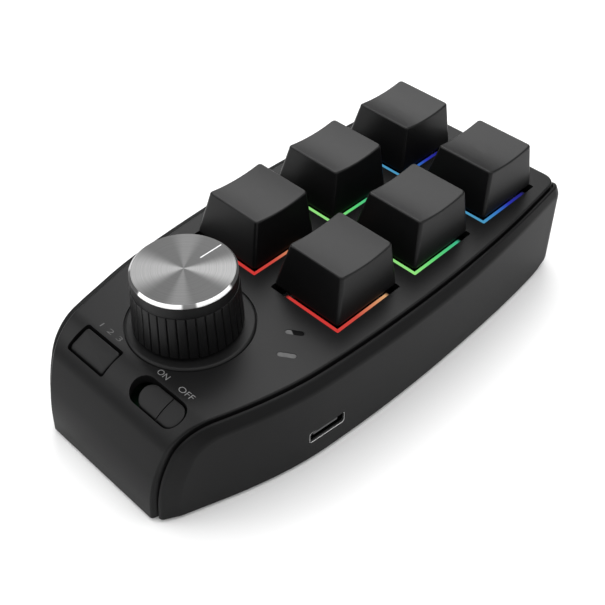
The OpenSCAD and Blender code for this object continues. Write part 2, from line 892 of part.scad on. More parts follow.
module light_guide(place) {
    color("#e8f4f0")
        translate([place[0], place[1], plate_top])
            linear_extrude(height = top_z - plate_top)
                guide_pair();
}

ring_seat = 0.4;
ring_top = top_z + ring_height;
ring_edge = 0.25;
knob_z = ring_top + knob_travel + loose;
knob_top_z = top_z + knob_height;
cap_seat = knob_top_z - knob_cap_thickness;
skirt_top = knob_top_z - knob_bevel - knob_band;
bush_reach = 3.4;           // Height of the bush above the cover
shaft_cover = 1.6;          // Knob left above the shaft's end
bush_top = top_z + bush_reach;
well_radius = nut_width / 2 / cos(30) + 2 * loose;
well_top = bush_top + knob_travel + loose;
shaft_top = cap_seat - shaft_cover;
shaft_radius = shaft_diameter / 2;
module knob_ring() {
    color("#3a3a3c")
        translate([knob_x, knob_y, 0])
            rotate_extrude($fn = fine)
                polygon([
                    [well_radius, top_z - ring_seat],
                    [ring_radius, top_z - ring_seat],
                    [ring_radius, ring_top - ring_edge],
                    [ring_radius - ring_edge, ring_top],
                    [well_radius, ring_top]
                ]);
}

module knob_body() {
    skirt_height = skirt_top - knob_z;
    flute_tilt = atan((knob_foot_radius - skirt_top_radius) / skirt_height);
    color("#262628")
        translate([knob_x, knob_y, 0])
            difference() {
                rotate_extrude($fn = fine)
                    polygon([
                        [0, well_top], [well_radius, well_top], [well_radius, knob_z],
                        [knob_foot_radius, knob_z], [skirt_top_radius, skirt_top],
                        [knob_band_radius, skirt_top], [knob_top_radius, cap_seat], [0, cap_seat]
                    ]);
                for (i = [0:flute_count - 1])
                    rotate(i * 360 / flute_count)
                        translate([knob_foot_radius + fit, 0, knob_z])
                            rotate([0, -flute_tilt, 0])
                                translate([0, 0, -through])
                                    cylinder(r = flute_radius, h = skirt_height + through, $fn = 16);
                translate([0, 0, well_top - through])
                    shaft_form(shaft_top - well_top + through);
            }
}

module knob_cap() {
    pointer_margin = 0.4;
    pointer_depth = 0.15;
    pointer_start = knob_top_radius - knob_bevel - pointer_margin - pointer_length;
    color("#c4c6c9")
        translate([knob_x, knob_y, cap_seat])
            difference() {
                rotate_extrude($fn = fine)
                    polygon([
                        [0, 0], [knob_top_radius, 0],
                        [knob_top_radius, knob_cap_thickness - knob_bevel],
                        [knob_top_radius - knob_bevel, knob_cap_thickness],
                        [0, knob_cap_thickness]
                    ]);
                translate([-pointer_width / 2, pointer_start, knob_cap_thickness - pointer_depth])
                    cube([pointer_width, pointer_length, through]);
            }
}

// End of the shaft, with the flat that drives the knob
module shaft_form(height) {
    flat_depth = 1.5;
    difference() {
        cylinder(r = shaft_radius, h = height);
        translate([shaft_radius - flat_depth, -shaft_diameter, -through])
            cube([shaft_diameter, 2 * shaft_diameter, height + 2 * through]);
    }
}

encoder_top = board_top + encoder_height;
encoder_wall = 0.8;
rotor_radius = 4;
rotor_height = 1.2;
rotor_low = encoder_top - encoder_wall - loose - rotor_height;
plunger_height = 1.3;
plunger_radius = 1.6;
plunger_top = board_top + encoder_wall + knob_travel + fit + plunger_height;
module encoder_shaft() {
    round_top = well_top - knob_travel - loose;
    color("#9a9da1")
        translate([knob_x, knob_y, 0]) {
            translate([0, 0, plunger_top])
                cylinder(r = shaft_radius, h = round_top - plunger_top);
            translate([0, 0, rotor_low])
                cylinder(r = rotor_radius, h = rotor_height);
            translate([0, 0, round_top - overlap])
                shaft_form(shaft_top - round_top + overlap);
        }
}

module encoder_plunger() {
    color("#e0e0e0")
        translate([knob_x, knob_y, plunger_top - plunger_height])
            cylinder(r = plunger_radius, h = plunger_height);
}

module encoder_base() {
    color("#a7a9ac")
        translate([knob_x, knob_y, 0])
            difference() {
                union() {
                    post_block(encoder_width, encoder_depth, board_top, encoder_top);
                    translate([0, 0, encoder_top - overlap])
                        cylinder(d = bush_diameter, h = bush_top - encoder_top + overlap);
                }
                translate([0, 0, board_top + encoder_wall])
                    cylinder(r = rotor_radius + loose, h = encoder_height - 2 * encoder_wall);
                translate([0, 0, board_top + encoder_wall])
                    cylinder(r = shaft_radius + shaft_clearance, h = bush_top - board_top);
            }
}

module encoder_nut() {
    color("#b5b7ba")
        translate([knob_x, knob_y, top_z - ring_seat])
            difference() {
                cylinder(r = nut_width / 2 / cos(30), h = nut_height, $fn = 6);
                translate([0, 0, -through])
                    cylinder(d = bush_diameter, h = nut_height + 2 * through);
            }
}

// Outline of a control, raised to the near end's curved surface
module raised(drop, low) {
    intersection() {
        profile_block(drop, 0);
        translate([0, 0, low])
            linear_extrude(height = top_z)
                children();
    }
}

// Clips that keep a control from lifting out of its opening
module clips(width, low) {
    clip_reach = 0.8;
    clip_depth = 1.5;
    clip_height = 0.8;
    translate([0, clip_depth / 2, 0])
        post_block(width + 2 * clip_reach, clip_depth, low, low + clip_height);
}

small_switch_height = 3.4;
small_switch_top = board_top + small_switch_height;
well_floor = 1.6;
leg_join = 0.5;
button_corner = 0.6;
button_leg = 2.4;
button_switch_size = [6, 4.4];
power_switch_size = [8.6, 4];
module layer_button() {
    low = small_switch_top + button_travel + loose;
    color("#37373a") {
        raised(0, low)
            translate([button_x, button_y])
                rounded_square(button_width, button_depth, button_corner);
        translate([button_x, button_y, 0]) {
            clips(button_width + 2 * button_gap, low);
            post_block(
                button_leg, button_leg,
                board_top + well_floor + button_travel + fit, low + leg_join
            );
        }
    }
}

module layer_switch() {
    well = button_leg + 4 * fit + loose;
    color("#2b2b2b")
        translate([button_x, button_y, 0])
            difference() {
                post_block(button_switch_size[0], button_switch_size[1], board_top, small_switch_top);
                post_block(well, well, board_top + well_floor, top_z);
            }
}

slider_leg = 1.8;
module power_slider() {
    length = slide_opening - slide_travel - 2 * slide_gap;
    centre_x = slide_x + slide_travel / 2;
    low = small_switch_top + loose;
    line_x = centre_x + 0.75;
    line_width = 0.3;
    line_depth = 0.35;
    color("#39393c") {
        difference() {
            raised(slide_sink, low)
                translate([centre_x, slide_y])
                    stadium(length, slide_depth - 2 * slide_gap);
            difference() {
                translate([line_x, slide_y - slide_depth / 2, low])
                    cube([line_width, slide_depth, top_z]);
                profile_block(slide_sink + line_depth, 0);
            }
        }
        translate([centre_x, slide_y, 0]) {
            clips(length, low);
            post_block(slider_leg, slider_leg, board_top + well_floor + loose, low + leg_join);
        }
    }
}

module power_switch() {
    slot = slide_travel + slider_leg + 2 * loose;
    color("#b0b2b5")
        translate([slide_x, slide_y, 0])
            difference() {
                post_block(power_switch_size[0], power_switch_size[1], board_top, small_switch_top);
                post_block(slot, slider_leg + 2 * loose, board_top + well_floor, top_z);
            }
}

port_back = 1;
module usb_shell() {
    color("#c9cbce")
        port_place()
            difference() {
                translate([0, 0, -port_depth])
                    linear_extrude(height = port_depth)
                        stadium(port_width, port_height);
                translate([0, 0, port_back - port_depth])
                    linear_extrude(height = port_depth)
                        stadium(port_width - 2 * port_wall, port_height - 2 * port_wall);
            }
}

module usb_tongue() {
    tongue_sink = 0.8;
    color("#232325")
        port_place()
            translate([0, 0, port_back - port_depth])
                linear_extrude(height = port_depth - port_back - tongue_sink)
                    square([tongue_width, tongue_thickness], center = true);
}

module indicator_lenses() {
    low = board_top + lamp_height + loose;
    color("#9c9fa2")
        translate([0, 0, low])
            linear_extrude(height = top_z - low)
                lens_outline(0.02);
}

KEY_PARTS = ["keycap", "switch_stem", "switch_spring", "switch_top", "switch_base", "light_guide"];

top_cover();
side_shell_right();
side_shell_left();
bottom_cover();
case_screws();
rubber_feet();
switch_plate();
main_board();
usb_board();
battery();
usb_shell();
usb_tongue();
knob_body();
knob_cap();
knob_ring();
encoder_base();
encoder_shaft();
encoder_plunger();
encoder_nut();
layer_button();
layer_switch();
power_slider();
power_switch();
indicator_lenses();
for (i = [1:6]) {
    keycap(key_places[i - 1]);
    switch_stem(key_places[i - 1]);
    switch_spring(key_places[i - 1]);
    switch_top(key_places[i - 1]);
    switch_base(key_places[i - 1]);
    light_guide(key_places[i - 1]);
}
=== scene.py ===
"""Looks of the macro keypad.

Lengths are in millimetres until a mesh, a lamp or the camera is made, which turns them into metres.
"""

import math

import bmesh
import bpy
from mathutils import Matrix, Vector


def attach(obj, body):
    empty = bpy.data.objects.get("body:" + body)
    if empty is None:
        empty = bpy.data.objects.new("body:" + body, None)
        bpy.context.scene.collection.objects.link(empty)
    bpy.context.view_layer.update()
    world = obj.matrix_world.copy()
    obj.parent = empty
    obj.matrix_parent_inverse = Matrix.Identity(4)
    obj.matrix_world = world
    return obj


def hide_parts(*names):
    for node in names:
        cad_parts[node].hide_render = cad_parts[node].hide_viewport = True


MM = 0.001
QUARTER = math.pi / 2

# Cover
NEAR_Y, FAR_Y = -61.4, 61.4
FLOOR_Z, TOP_Z = 1.0, 24.7
COVER_HALF = 27.65  # half the cover's width where it is widest
WIDEST_Y = 9.0
SIDE_RADIUS = 358.0
NEAR_HALF = 15.8
TAPER, TAPER_BLEND = 0.348, 2.6
CORNER_RADIUS = 3.6
WRAP = math.radians(66)  # how far round the far corners the side shells reach
EDGE = 0.45
COVER_WALL = 2.0
FAR_WALL_FROM = 36.87  # degrees round the far corners
BOSS_RADIUS = 2.3
CURVED_CUT_Z = 12

# Near end's curve: the radius of each arc and the angle at which it ends
NEAR_R1, NEAR_A1 = 10.4, math.radians(63.7)
NEAR_R2, NEAR_A2 = 38.0, math.radians(87)

# Side shells, measured outwards and downwards from the cover's edge
FACE_OFFSET, FOOT_OFFSET = 2.7, 1.9
FAR_SPAN, FAR_CHANGE = (15, 55), 0.6  # along Y, the foot moves out and the face in by this much
GROOVE, LEFT_GROOVE = 0.5, 0.2
RIM_WIDTH = 0.7
RIM_DROP, NEAR_RIM_DROP, FAR_RIM_DROP = 0.4, 1.1, 1.8
BEVEL_HEIGHT, NEAR_BEVEL = 2.2, 3.5
CREASE_SOFTNESS, RIM_SOFTNESS = 0.8, 0.35
BEVEL_FLAT = (0.24, 0.86)  # shares of the way from crease to rim between which it is flat
LEDGE_DROP, LEDGE_THICKNESS = 2.2, 1.6
LEDGE_REACH, FOOT_LEDGE_REACH, FOOT_LEDGE_INSET = 1.4, 0.4, 3
LEDGE_GRIP = GROOVE + 0.25
FACE_HEIGHT = TOP_Z - FLOOR_Z - RIM_DROP - BEVEL_HEIGHT
CORNER_Y = FAR_Y - (CORNER_RADIUS + FACE_OFFSET) * math.sin(WRAP)
FOOT_RISE, FOOT_RISE_LIMIT, FOOT_RISE_START = 0.05, 5, CORNER_Y - 4

# Where the body departs from its plan, by stretches along Y
NEAR_SPAN, NEAR_WIDENING, NEAR_SHIFT = (-38, -58), 0.03, 0.7
LEFT_RISE, LEFT_FALL, LEFT_NARROWING = (-46, -22), (25, 58), 0.022

# Steps and tolerances of the meshes
SIDE_STEPS, WRAP_STEPS = 44, 11
MERGE_DISTANCE = 1e-4

# Keys
PITCH = 24.4
ROWS = [NEAR_Y + 55.85 + i * PITCH for i in range(3)]
KEY_PLACES = [(x, y) for y in ROWS for x in (-PITCH / 2, PITCH / 2)]
CAP_BASE = 18.3
CAP_BASE_SHIFT = Vector((-0.3, 0.35, 0))
CAP_FOOT = 0.6  # length of the skirt below the base
CAP_TOP = (14.6, 15.0)
CAP_SHOULDER = (CAP_TOP[0] + 0.5, CAP_TOP[1] + 0.5)
CAP_EDGE, CAP_EDGE_SPREAD = 0.65, 1.3 * 0.65  # height of the rounded edge, and its two widths
CAP_CORNER, CAP_TOP_CORNER, CAP_CORNER_STEPS = 0.8, 0.4, 6
SHOULDER_DISH = 0.75  # share of the dish that the shoulder has
CAP_LEAN = 1.12
CAP_HEIGHT = 10.2
CAP_Z = TOP_Z + 1.1
CAP_WALLS, CAP_ROOF = 2.5, 1.9
DISH_DEPTH = 0.75
POST_RADIUS, POST_FOOT, POST_TOP = 2.7, 1.3, CAP_HEIGHT - 1.55
SOCKET_LENGTH, SOCKET_WIDTH, SOCKET_DEPTH = 4.04, 1.24, 3.7

# Light guides round the keys
GUIDE = 9.75  # half the side of a key's opening
LIGHT_WIDTH, HIDDEN_LIGHT_WIDTH = 0.85, 0.2
FRONT_ARM, SIDE_ARM = 15.1, 16.0
GUIDE_BEND, GUIDE_CHAMFER = 0.3, 0.06
GUIDE_FOOT = TOP_Z - 4.6
GUIDE_TOP = TOP_Z - 0.02

# Knob
KNOB = Vector((-1.74, NEAR_Y + 27.0, 0))
KNOB_FOOT, KNOB_TOP = TOP_Z + 1.2, TOP_Z + 14.85
CAP_SEAT = KNOB_TOP - 0.8
SKIRT_TOP = KNOB_TOP - 3.4
SKIRT_RADIUS, SKIRT_TOP_RADIUS, BAND_RADIUS = 11.5, 10.9, 10.72
FLUTES, FACET_STEPS, FLUTE_WIDTH, FLUTE_DEPTH = 36, 10, 0.24, 0.33
WELL_RADIUS, WELL_ROOF = 6.3735, TOP_Z + 4.2
DISC_RADIUS, BEVEL_RADIUS = 10.24, 10.7
POINTER_SIZE, POINTER_PLACE, POINTER_DEPTH = (5.6, 0.3), (KNOB.x, KNOB.y + 7.1), 0.15
RING_CENTRE = KNOB + Vector((0.25, 0.25, 0))
RING_RADIUS, RING_HOLE, RING_HEIGHT = 13.5, 6.37, 0.4
RECESS_RADIUS = 13.68

# Small controls
BUTTON = (-10.1, NEAR_Y + 9.4)
BUTTON_SIZE, BUTTON_CORNER, BUTTON_GAP = (10.75, 5.2), 0.6, 0.4
BUTTON_FOOT, BUTTON_LEG = 19.3, 17.3  # heights
BUTTON_LEG_HALF, BUTTON_CLIP_HALF = 1.2, 6.375
SLIDE = (9.3, NEAR_Y + 9.5)
SLIDE_OPENING, SLIDE_LENGTH, SLIDE_DEPTH, SLIDE_GAP = 14.3, 11.4, 5.7, 0.4
SLIDE_FOOT, SLIDE_LEG = 18.8, 17.0  # heights
SLIDE_LEG_HALF, SLIDE_CLIP_HALF = 0.9, SLIDE_LENGTH / 2 + 0.8
SLIDE_MARK_PLACE, SLIDE_MARK_WIDTH, SLIDE_MARK_DEPTH = 0.9, 0.3, 0.7
CLIP_DEPTH, CLIP_THICKNESS, LEG_OVERLAP = 1.5, 0.8, 0.5
PORT_Y, PORT_Z = NEAR_Y + 37.1, FLOOR_Z + 6.9
PORT_SIZE, PORT_WALL, PORT_CORNER = (9.6, 3.3), 0.2, 0.7
PORT_FIT, PORT_LIP, PORT_BACK = 0.06, 0.06, -6.4
LENS_PLACES = [(15.71, -21.296), (18.89, -26.804)]
LENS_DARK_FROM = [0.34, 1.0]
LENS_SIZE = (4.0, 1.3)
LENS_TURN = math.radians(33)
LENS_SLANT = 0.55
LENS_FOOT = 16.5
PRINT_THICKNESS, PRINT_OFFSET, PRINT_LIFT = 0.01, -0.025, 0.012

# Materials
GRAIN_SCALE, METAL_SCALE = 5200.0, 4000.0
GLOW_SPAN = (-15.5, 48.5)  # where along the body the lights' colours start and end
GLOSS_SPAN = (13, 21)  # heights between which the cover's gloss fades

# Camera
CAMERA_PLACE = (114.42, -121.81, 170.14)
CAMERA_AZIMUTH, CAMERA_ELEVATION, CAMERA_ROLL = (math.radians(a) for a in (43.885, 44.182, 0.68))
FOCAL_PIXELS, PICTURE_PIXELS = 1001.5, 605
SENSOR = 36

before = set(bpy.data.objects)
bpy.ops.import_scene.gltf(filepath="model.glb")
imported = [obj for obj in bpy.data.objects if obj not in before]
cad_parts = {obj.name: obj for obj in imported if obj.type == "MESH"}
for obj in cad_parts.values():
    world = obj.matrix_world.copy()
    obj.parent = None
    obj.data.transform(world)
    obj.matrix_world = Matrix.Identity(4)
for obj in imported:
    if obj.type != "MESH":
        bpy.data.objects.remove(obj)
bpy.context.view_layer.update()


# Form of the body

def lerp(a, b, share):
    return a + (b - a) * share


def ramped(at, start, end):
    """Share of the way from start to end, eased at both."""
    t = min(1, max(0, (at - start) / (end - start)))
    return t * t * (3 - 2 * t)


def half_width(y):
    """Half the cover's width: a wide arc blended with the near end's taper."""
    arc = COVER_HALF - SIDE_RADIUS + math.sqrt(SIDE_RADIUS**2 - (y - WIDEST_Y) ** 2)
    taper = NEAR_HALF + TAPER * (y - NEAR_Y)
    share = max(TAPER_BLEND - abs(arc - taper), 0) / TAPER_BLEND
    return min(arc, taper) - share**2 * TAPER_BLEND / 4


CORNER_X = half_width(CORNER_Y) - CORNER_RADIUS
FOOT_DROP = (
    TOP_Z - FLOOR_Z - NEAR_R1 * (1 - math.cos(NEAR_A1))
    - NEAR_R2 * (math.cos(NEAR_A1) - math.cos(NEAR_A2))
)
CURVE_Y = (
    NEAR_Y + NEAR_R1 * math.sin(NEAR_A1)
    + NEAR_R2 * (math.sin(NEAR_A2) - math.sin(NEAR_A1)) + FOOT_DROP / math.tan(NEAR_A2)
)
UPPER_CENTRE = (CURVE_Y, TOP_Z - NEAR_R1)
LOWER_CENTRE = (
    UPPER_CENTRE[0] + (NEAR_R2 - NEAR_R1) * math.sin(NEAR_A1),
    UPPER_CENTRE[1] - (NEAR_R2 - NEAR_R1) * math.cos(NEAR_A1),
)


def arc_point(a, inset):
    upper = a <= NEAR_A1 + 1e-9
    centre, radius = (UPPER_CENTRE, NEAR_R1) if upper else (LOWER_CENTRE, NEAR_R2)
    return centre[0] - (radius - inset) * math.sin(a), centre[1] + (radius - inset) * math.cos(a)


def foot_point(inset):
    y, z = arc_point(NEAR_A2, inset)
    return y - (z - FLOOR_Z) / math.tan(NEAR_A2), FLOOR_Z


def surface_z(y):
    """Height of the cover's surface at a place along the body."""
    if y >= CURVE_Y:
        return TOP_Z
    a = math.asin(min(1, (UPPER_CENTRE[0] - y) / NEAR_R1))
    if a <= NEAR_A1:
        return UPPER_CENTRE[1] + NEAR_R1 * math.cos(a)
    return LOWER_CENTRE[1] + math.sqrt(max(NEAR_R2**2 - (y - LOWER_CENTRE[0]) ** 2, 0))


def foot_lift(edge):
    """How far a shell's foot rises as it nears the far corner."""
    if edge.y <= FOOT_RISE_START:
        return 0
    run = math.hypot(edge.x - CORNER_X - CORNER_RADIUS, edge.y - FOOT_RISE_START)
    return min(FOOT_RISE_LIMIT, FOOT_RISE * run**2)


class Station:
    """One section of the body's outline.

    place gives the point at a distance outside and below the cover's edge, share runs from 0 at
    the near foot to 1 along the deck, and drop lowers the shell's rim.
    """

    def __init__(self, place, share=1.0, drop=0.0):
        self.place = place
        self.share = share
        self.drop = drop


NEAR_ANGLES = [lerp(NEAR_A2, NEAR_A1, i / 8) for i in range(8)]
NEAR_ANGLES += [NEAR_A1 * (1 - i / 16) for i in range(17)]


def near_station(i):
    def place(out, inset):
        y, z = foot_point(inset) if i == 0 else arc_point(NEAR_ANGLES[i - 1], inset)
        return Vector((half_width(y) + out, y, z))

    return Station(place, max(i - 1, 0) / len(NEAR_ANGLES))


def side_station(y):
    return Station(lambda out, inset: Vector((half_width(y) + out, y, TOP_Z - inset)))


def corner_station(a, drop=0.0):
    def place(out, inset):
        r = CORNER_RADIUS + out
        return Vector((CORNER_X + r * math.cos(a), CORNER_Y + r * math.sin(a), TOP_Z - inset))

    return Station(place, drop=drop)


STATIONS = [near_station(i) for i in range(len(NEAR_ANGLES) + 1)]
STATIONS += [
    side_station(lerp(CURVE_Y, CORNER_Y, i / SIDE_STEPS)) for i in range(1, SIDE_STEPS)
]
COVER_STATIONS = STATIONS + [corner_station(math.radians(a)) for a in range(0, 91, 6)]
SHELL_STATIONS = STATIONS + [
    corner_station(WRAP * i / WRAP_STEPS, (FAR_RIM_DROP - RIM_DROP) * (i / WRAP_STEPS) ** 2)
    for i in range(WRAP_STEPS + 1)
]


# Outlines

def stadium(length, width, steps=10):
    r = width / 2
    points = []
    for side in (1, -1):
        for k in range(steps + 1):
            a = math.pi * k / steps - QUARTER
            points.append((side * ((length - width) / 2 + r * math.cos(a)), side * r * math.sin(a)))
    return points


def rounded_box(width, depth, r, steps=5):
    points = []
    for quarter in range(4):
        cx = (width / 2 - r) * (1 if quarter in (0, 3) else -1)
        cy = (depth / 2 - r) * (1 if quarter in (0, 1) else -1)
        for k in range(steps + 1):
            a = QUARTER * (quarter + k / steps)
            points.append((cx + r * math.cos(a), cy + r * math.sin(a)))
    return points


def rectangle(x0, y0, x1, y1):
    return [(x0, y0), (x1, y0), (x1, y1), (x0, y1)]


def circle(r, steps, centre=(0, 0)):
    angles = [2 * math.pi * k / steps for k in range(steps)]
    return [(centre[0] + r * math.cos(a), centre[1] + r * math.sin(a)) for a in angles]


def moved(points, x, y, turn=0.0):
    c, s = math.cos(turn), math.sin(turn)
    return [(x + c * px - s * py, y + s * px + c * py) for px, py in points]


def shrunk(outline, centre, share):
    return [(lerp(centre[0], x, share), lerp(centre[1], y, share)) for x, y in outline]


def bezier(points, t):
    while len(points) > 1:
        points = [a.lerp(b, t) for a, b in zip(points, points[1:])]
    return points[0]


# Meshes

def link_object(name, data):
    obj = bpy.data.objects.new(name, data)
    bpy.context.scene.collection.objects.link(obj)
    return obj


def new_object(name, bm, smooth=True):
    """Cleans a mesh that is in millimetres and makes it an object in metres."""
    bmesh.ops.remove_doubles(bm, verts=bm.verts, dist=MERGE_DISTANCE)
    bmesh.ops.dissolve_degenerate(bm, edges=bm.edges, dist=MERGE_DISTANCE)
    bmesh.ops.recalc_face_normals(bm, faces=bm.faces)
    for v in bm.verts:
        v.co *= MM
    for f in bm.faces:
        f.smooth = smooth
    mesh = bpy.data.meshes.new(name)
    bm.to_mesh(mesh)
    bm.free()
    return link_object(name, mesh)


def sweep(bm, rings, closed_ends=True, flip=False):
    """Skins rings of points that have equal counts."""
    grid = [[bm.verts.new(p) for p in ring] for ring in rings]
    count = len(grid[0])
    for a, b in zip(grid, grid[1:]):
        for k in range(count):
            n = (k + 1) % count
            quad = [a[k], a[n], b[n], b[k]]
            bm.faces.new(quad[::-1] if flip else quad)
    if closed_ends:
        bm.faces.new(grid[0][::-1])
        bm.faces.new(grid[-1])
    return grid


def sweep_to_strips(bm, rings):
    """Skins rings whose last one is closed by strips between the two halves of its points."""
    grid = sweep(bm, rings, closed_ends=False)
    bm.faces.new(grid[0][::-1])
    last = grid[-1]
    for k in range(len(last) // 2 - 1):
        bm.faces.new([last[k], last[k + 1], last[-2 - k], last[-1 - k]])
    return grid


def prism(bm, outline, low, high):
    sweep(bm, [[(x, y, z) for x, y in outline] for z in (low, high)])


def lathe(bm, profile, centre, steps=144):
    """Turns a profile of (radius, height) round an upright axis, and leaves the hole's wall open."""
    rings = [[(x, y, z) for x, y in circle(r, steps, centre)] for r, z in profile]
    sweep(bm, rings, closed_ends=False)


def cut(obj, cutter_bm):
    """Takes the cutters' solid away from an object, and keeps the result as its mesh."""
    tool = new_object(obj.name + "_tool", cutter_bm, smooth=False)
    mod = obj.modifiers.new("cut", "BOOLEAN")
    mod.operation = "DIFFERENCE"
    mod.solver = "EXACT"
    mod.use_self = True
    mod.object = tool
    done = evaluated_mesh(obj)
    obj.modifiers.clear()
    obj.data = done
    bpy.data.objects.remove(tool)


def evaluated_mesh(obj):
    bpy.context.view_layer.update()
    return bpy.data.meshes.new_from_object(
        obj.evaluated_get(bpy.context.evaluated_depsgraph_get())
    )


def shade(obj, angle=35):
    """Smooth shading that keeps edges sharper than an angle, with the large faces kept flat."""
    mesh = obj.data
    bm = bmesh.new()
    bm.from_mesh(mesh)
    limit = math.radians(angle)
    for f in bm.faces:
        f.smooth = True
    for e in bm.edges:
        e.smooth = len(e.link_faces) == 2 and e.calc_face_angle(0) < limit
    bm.to_mesh(mesh)
    bm.free()
    mod = obj.modifiers.new("weights", "WEIGHTED_NORMAL")
    mod.keep_sharp = True
    mod.weight = 60
    return obj


def settle(obj):
    """Widens the near end a little, sets it to the left, and sets the left side in."""
    for v in obj.data.vertices:
        y = v.co.y / MM
        v.co.x += ramped(y, *NEAR_SPAN) * (NEAR_WIDENING * v.co.x - NEAR_SHIFT * MM)
        if v.co.x < 0:
            v.co.x *= 1 - LEFT_NARROWING * ramped(y, *LEFT_RISE) * (1 - ramped(y, *LEFT_FALL))
    return obj


def joined(name, objects):
    """One mesh object from several."""
    bm = bmesh.new()
    for o in objects:
        bm.from_mesh(o.data)
        bpy.data.objects.remove(o)
    mesh = bpy.data.meshes.new(name)
    bm.to_mesh(mesh)
    bm.free()
    return link_object(name, mesh)


# Materials

def grey(v):
    return (v, v, v)


def node_material(name):
    mat = bpy.data.materials.new(name)
    mat.use_nodes = True
    tree = mat.node_tree
    shader = tree.nodes["Principled BSDF"]
    coords = tree.nodes.new("ShaderNodeTexCoord").outputs["Object"]
    return mat, tree, shader, coords


def set_inputs(node, values):
    for name, value in values.items():
        node.inputs[name].default_value = value


def noise(tree, coords, scale, detail=3.0):
    node = tree.nodes.new("ShaderNodeTexNoise")
    set_inputs(node, {"Scale": scale, "Detail": detail})
    tree.links.new(coords, node.inputs["Vector"])
    return node.outputs["Fac"]


def ramp(tree, source, stops, interpolation="LINEAR"):
    """Colour that a value picks from stops of (place, colour)."""
    node = tree.nodes.new("ShaderNodeValToRGB")
    node.color_ramp.interpolation = interpolation
    elements = node.color_ramp.elements
    while len(elements) < len(stops):
        elements.new(0.5)
    for element, (at, colour) in zip(elements, stops):
        element.position = at
        element.color = (*colour, 1)
    tree.links.new(source, node.inputs["Fac"])
    return node.outputs["Color"]


def mottle(tree, source, low, high):
    """Colour that wanders with a noise between two tones."""
    return ramp(tree, source, [(0.3, low), (0.7, high)])


def bump(tree, shader, height, strength, distance):
    node = tree.nodes.new("ShaderNodeBump")
    set_inputs(node, {"Strength": strength, "Distance": distance * MM})
    tree.links.new(height, node.inputs["Height"])
    tree.links.new(node.outputs["Normal"], shader.inputs["Normal"])


def split_axes(tree, source):
    node = tree.nodes.new("ShaderNodeSeparateXYZ")
    tree.links.new(source, node.inputs["Vector"])
    return node.outputs


def map_range(tree, source, span, result=(0.0, 1.0)):
    node = tree.nodes.new("ShaderNodeMapRange")
    set_inputs(node, {
        "From Min": span[0], "From Max": span[1], "To Min": result[0], "To Max": result[1],
    })
    tree.links.new(source, node.inputs["Value"])
    return node.outputs["Result"]


def attribute(tree, name):
    node = tree.nodes.new("ShaderNodeAttribute")
    node.attribute_name = name
    return node.outputs["Fac"]


def moulded(name, colour, rough, grain=0.02, spread=0.10, metallic=0.0, specular=0.5):
    """Moulded plastic or cast metal: a fine grain, and colour and roughness that vary a little."""
    mat, tree, shader, coords = node_material(name)
    fine = noise(tree, coords, GRAIN_SCALE, 2.0)
    broad = noise(tree, coords, 60.0)
    low = tuple(c * (1 - spread) for c in colour)
    high = tuple(min(1, c * (1 + spread)) for c in colour)
    tint = mottle(tree, broad, low, high)
    tree.links.new(tint, shader.inputs["Base Color"])
    sheen = mottle(tree, fine, grey(rough * 0.93), grey(min(1, rough * 1.07)))
    tree.links.new(sheen, shader.inputs["Roughness"])
    bump(tree, shader, fine, 0.35, grain)
    set_inputs(shader, {"Metallic": metallic, "Specular IOR Level": specular})
    return mat


def fade_gloss(mat, low, high):
    """Makes a moulded material duller towards the foot of the body."""
    tree = mat.node_tree
    coords = tree.nodes.new("ShaderNodeTexCoord").outputs["Object"]
    heights = [z * MM for z in GLOSS_SPAN]
    gloss = map_range(tree, split_axes(tree, coords)["Z"], heights, (low, high))
    tree.links.new(gloss, tree.nodes["Principled BSDF"].inputs["Specular IOR Level"])
    return mat


def round_knob(tree, coords):
    """Place seen from the knob's middle, and its angle as a share of a turn that starts at -X."""
    shift = tree.nodes.new("ShaderNodeVectorMath")
    shift.operation = "SUBTRACT"
    shift.inputs[1].default_value = (KNOB.x * MM, KNOB.y * MM, 0)
    tree.links.new(coords, shift.inputs[0])
    axes = split_axes(tree, shift.outputs["Vector"])
    angle = tree.nodes.new("ShaderNodeMath")
    angle.operation = "ARCTAN2"
    tree.links.new(axes["Y"], angle.inputs[0])
    tree.links.new(axes["X"], angle.inputs[1])
    return axes, map_range(tree, angle.outputs[0], (-math.pi, math.pi))


def spun_metal_painted_highlights():
    """Turned aluminium: fine rings, and sectors of painted highlight and shade out from the middle.
    """
    mat, tree, shader, coords = node_material("knob_metal")
    axes, turn = round_knob(tree, coords)
    # Painted highlights and painted shade: the lamps' reflections are put into the base colour by
    # angle.
    bright, soft, dark = grey(0.175), grey(0.095), grey(0.062)
    painted_highlight_peaks = [(41, 15, bright), (133.9, 10, soft), (230, 20, bright), (313.9, 8, soft)]
    painted_sectors = []
    for centre, half, peak in painted_highlight_peaks:
        at, reach = (centre + 180) % 360 / 360, half / 360
        for side in (-1, 1):
            painted_sectors += [(at + side * 2.4 * reach, dark), (at + side * 0.5 * reach, peak)]
    tone = ramp(tree, turn, sorted(painted_sectors), "EASE")

    flat = tree.nodes.new("ShaderNodeCombineXYZ")
    for axis in "XY":
        tree.links.new(axes[axis], flat.inputs[axis])
    radius = tree.nodes.new("ShaderNodeVectorMath")
    radius.operation = "LENGTH"
    tree.links.new(flat.outputs["Vector"], radius.inputs[0])
    rings = tree.nodes.new("ShaderNodeTexNoise")
    rings.noise_dimensions = "1D"
    set_inputs(rings, {"Scale": GRAIN_SCALE, "Detail": 2.0})
    tree.links.new(radius.outputs["Value"], rings.inputs["W"])

    both = tree.nodes.new("ShaderNodeMix")
    both.data_type = "RGBA"
    both.blend_type = "MULTIPLY"
    both.inputs["Factor"].default_value = 1.0
    tree.links.new(tone, both.inputs["A"])
    tree.links.new(mottle(tree, rings.outputs["Fac"], grey(0.78), grey(1)), both.inputs["B"])
    tree.links.new(both.outputs["Result"], shader.inputs["Base Color"])
    bump(tree, shader, rings.outputs["Fac"], 0.25, 0.004)
    set_inputs(shader, {"Metallic": 1.0, "Roughness": 0.34})
    return mat


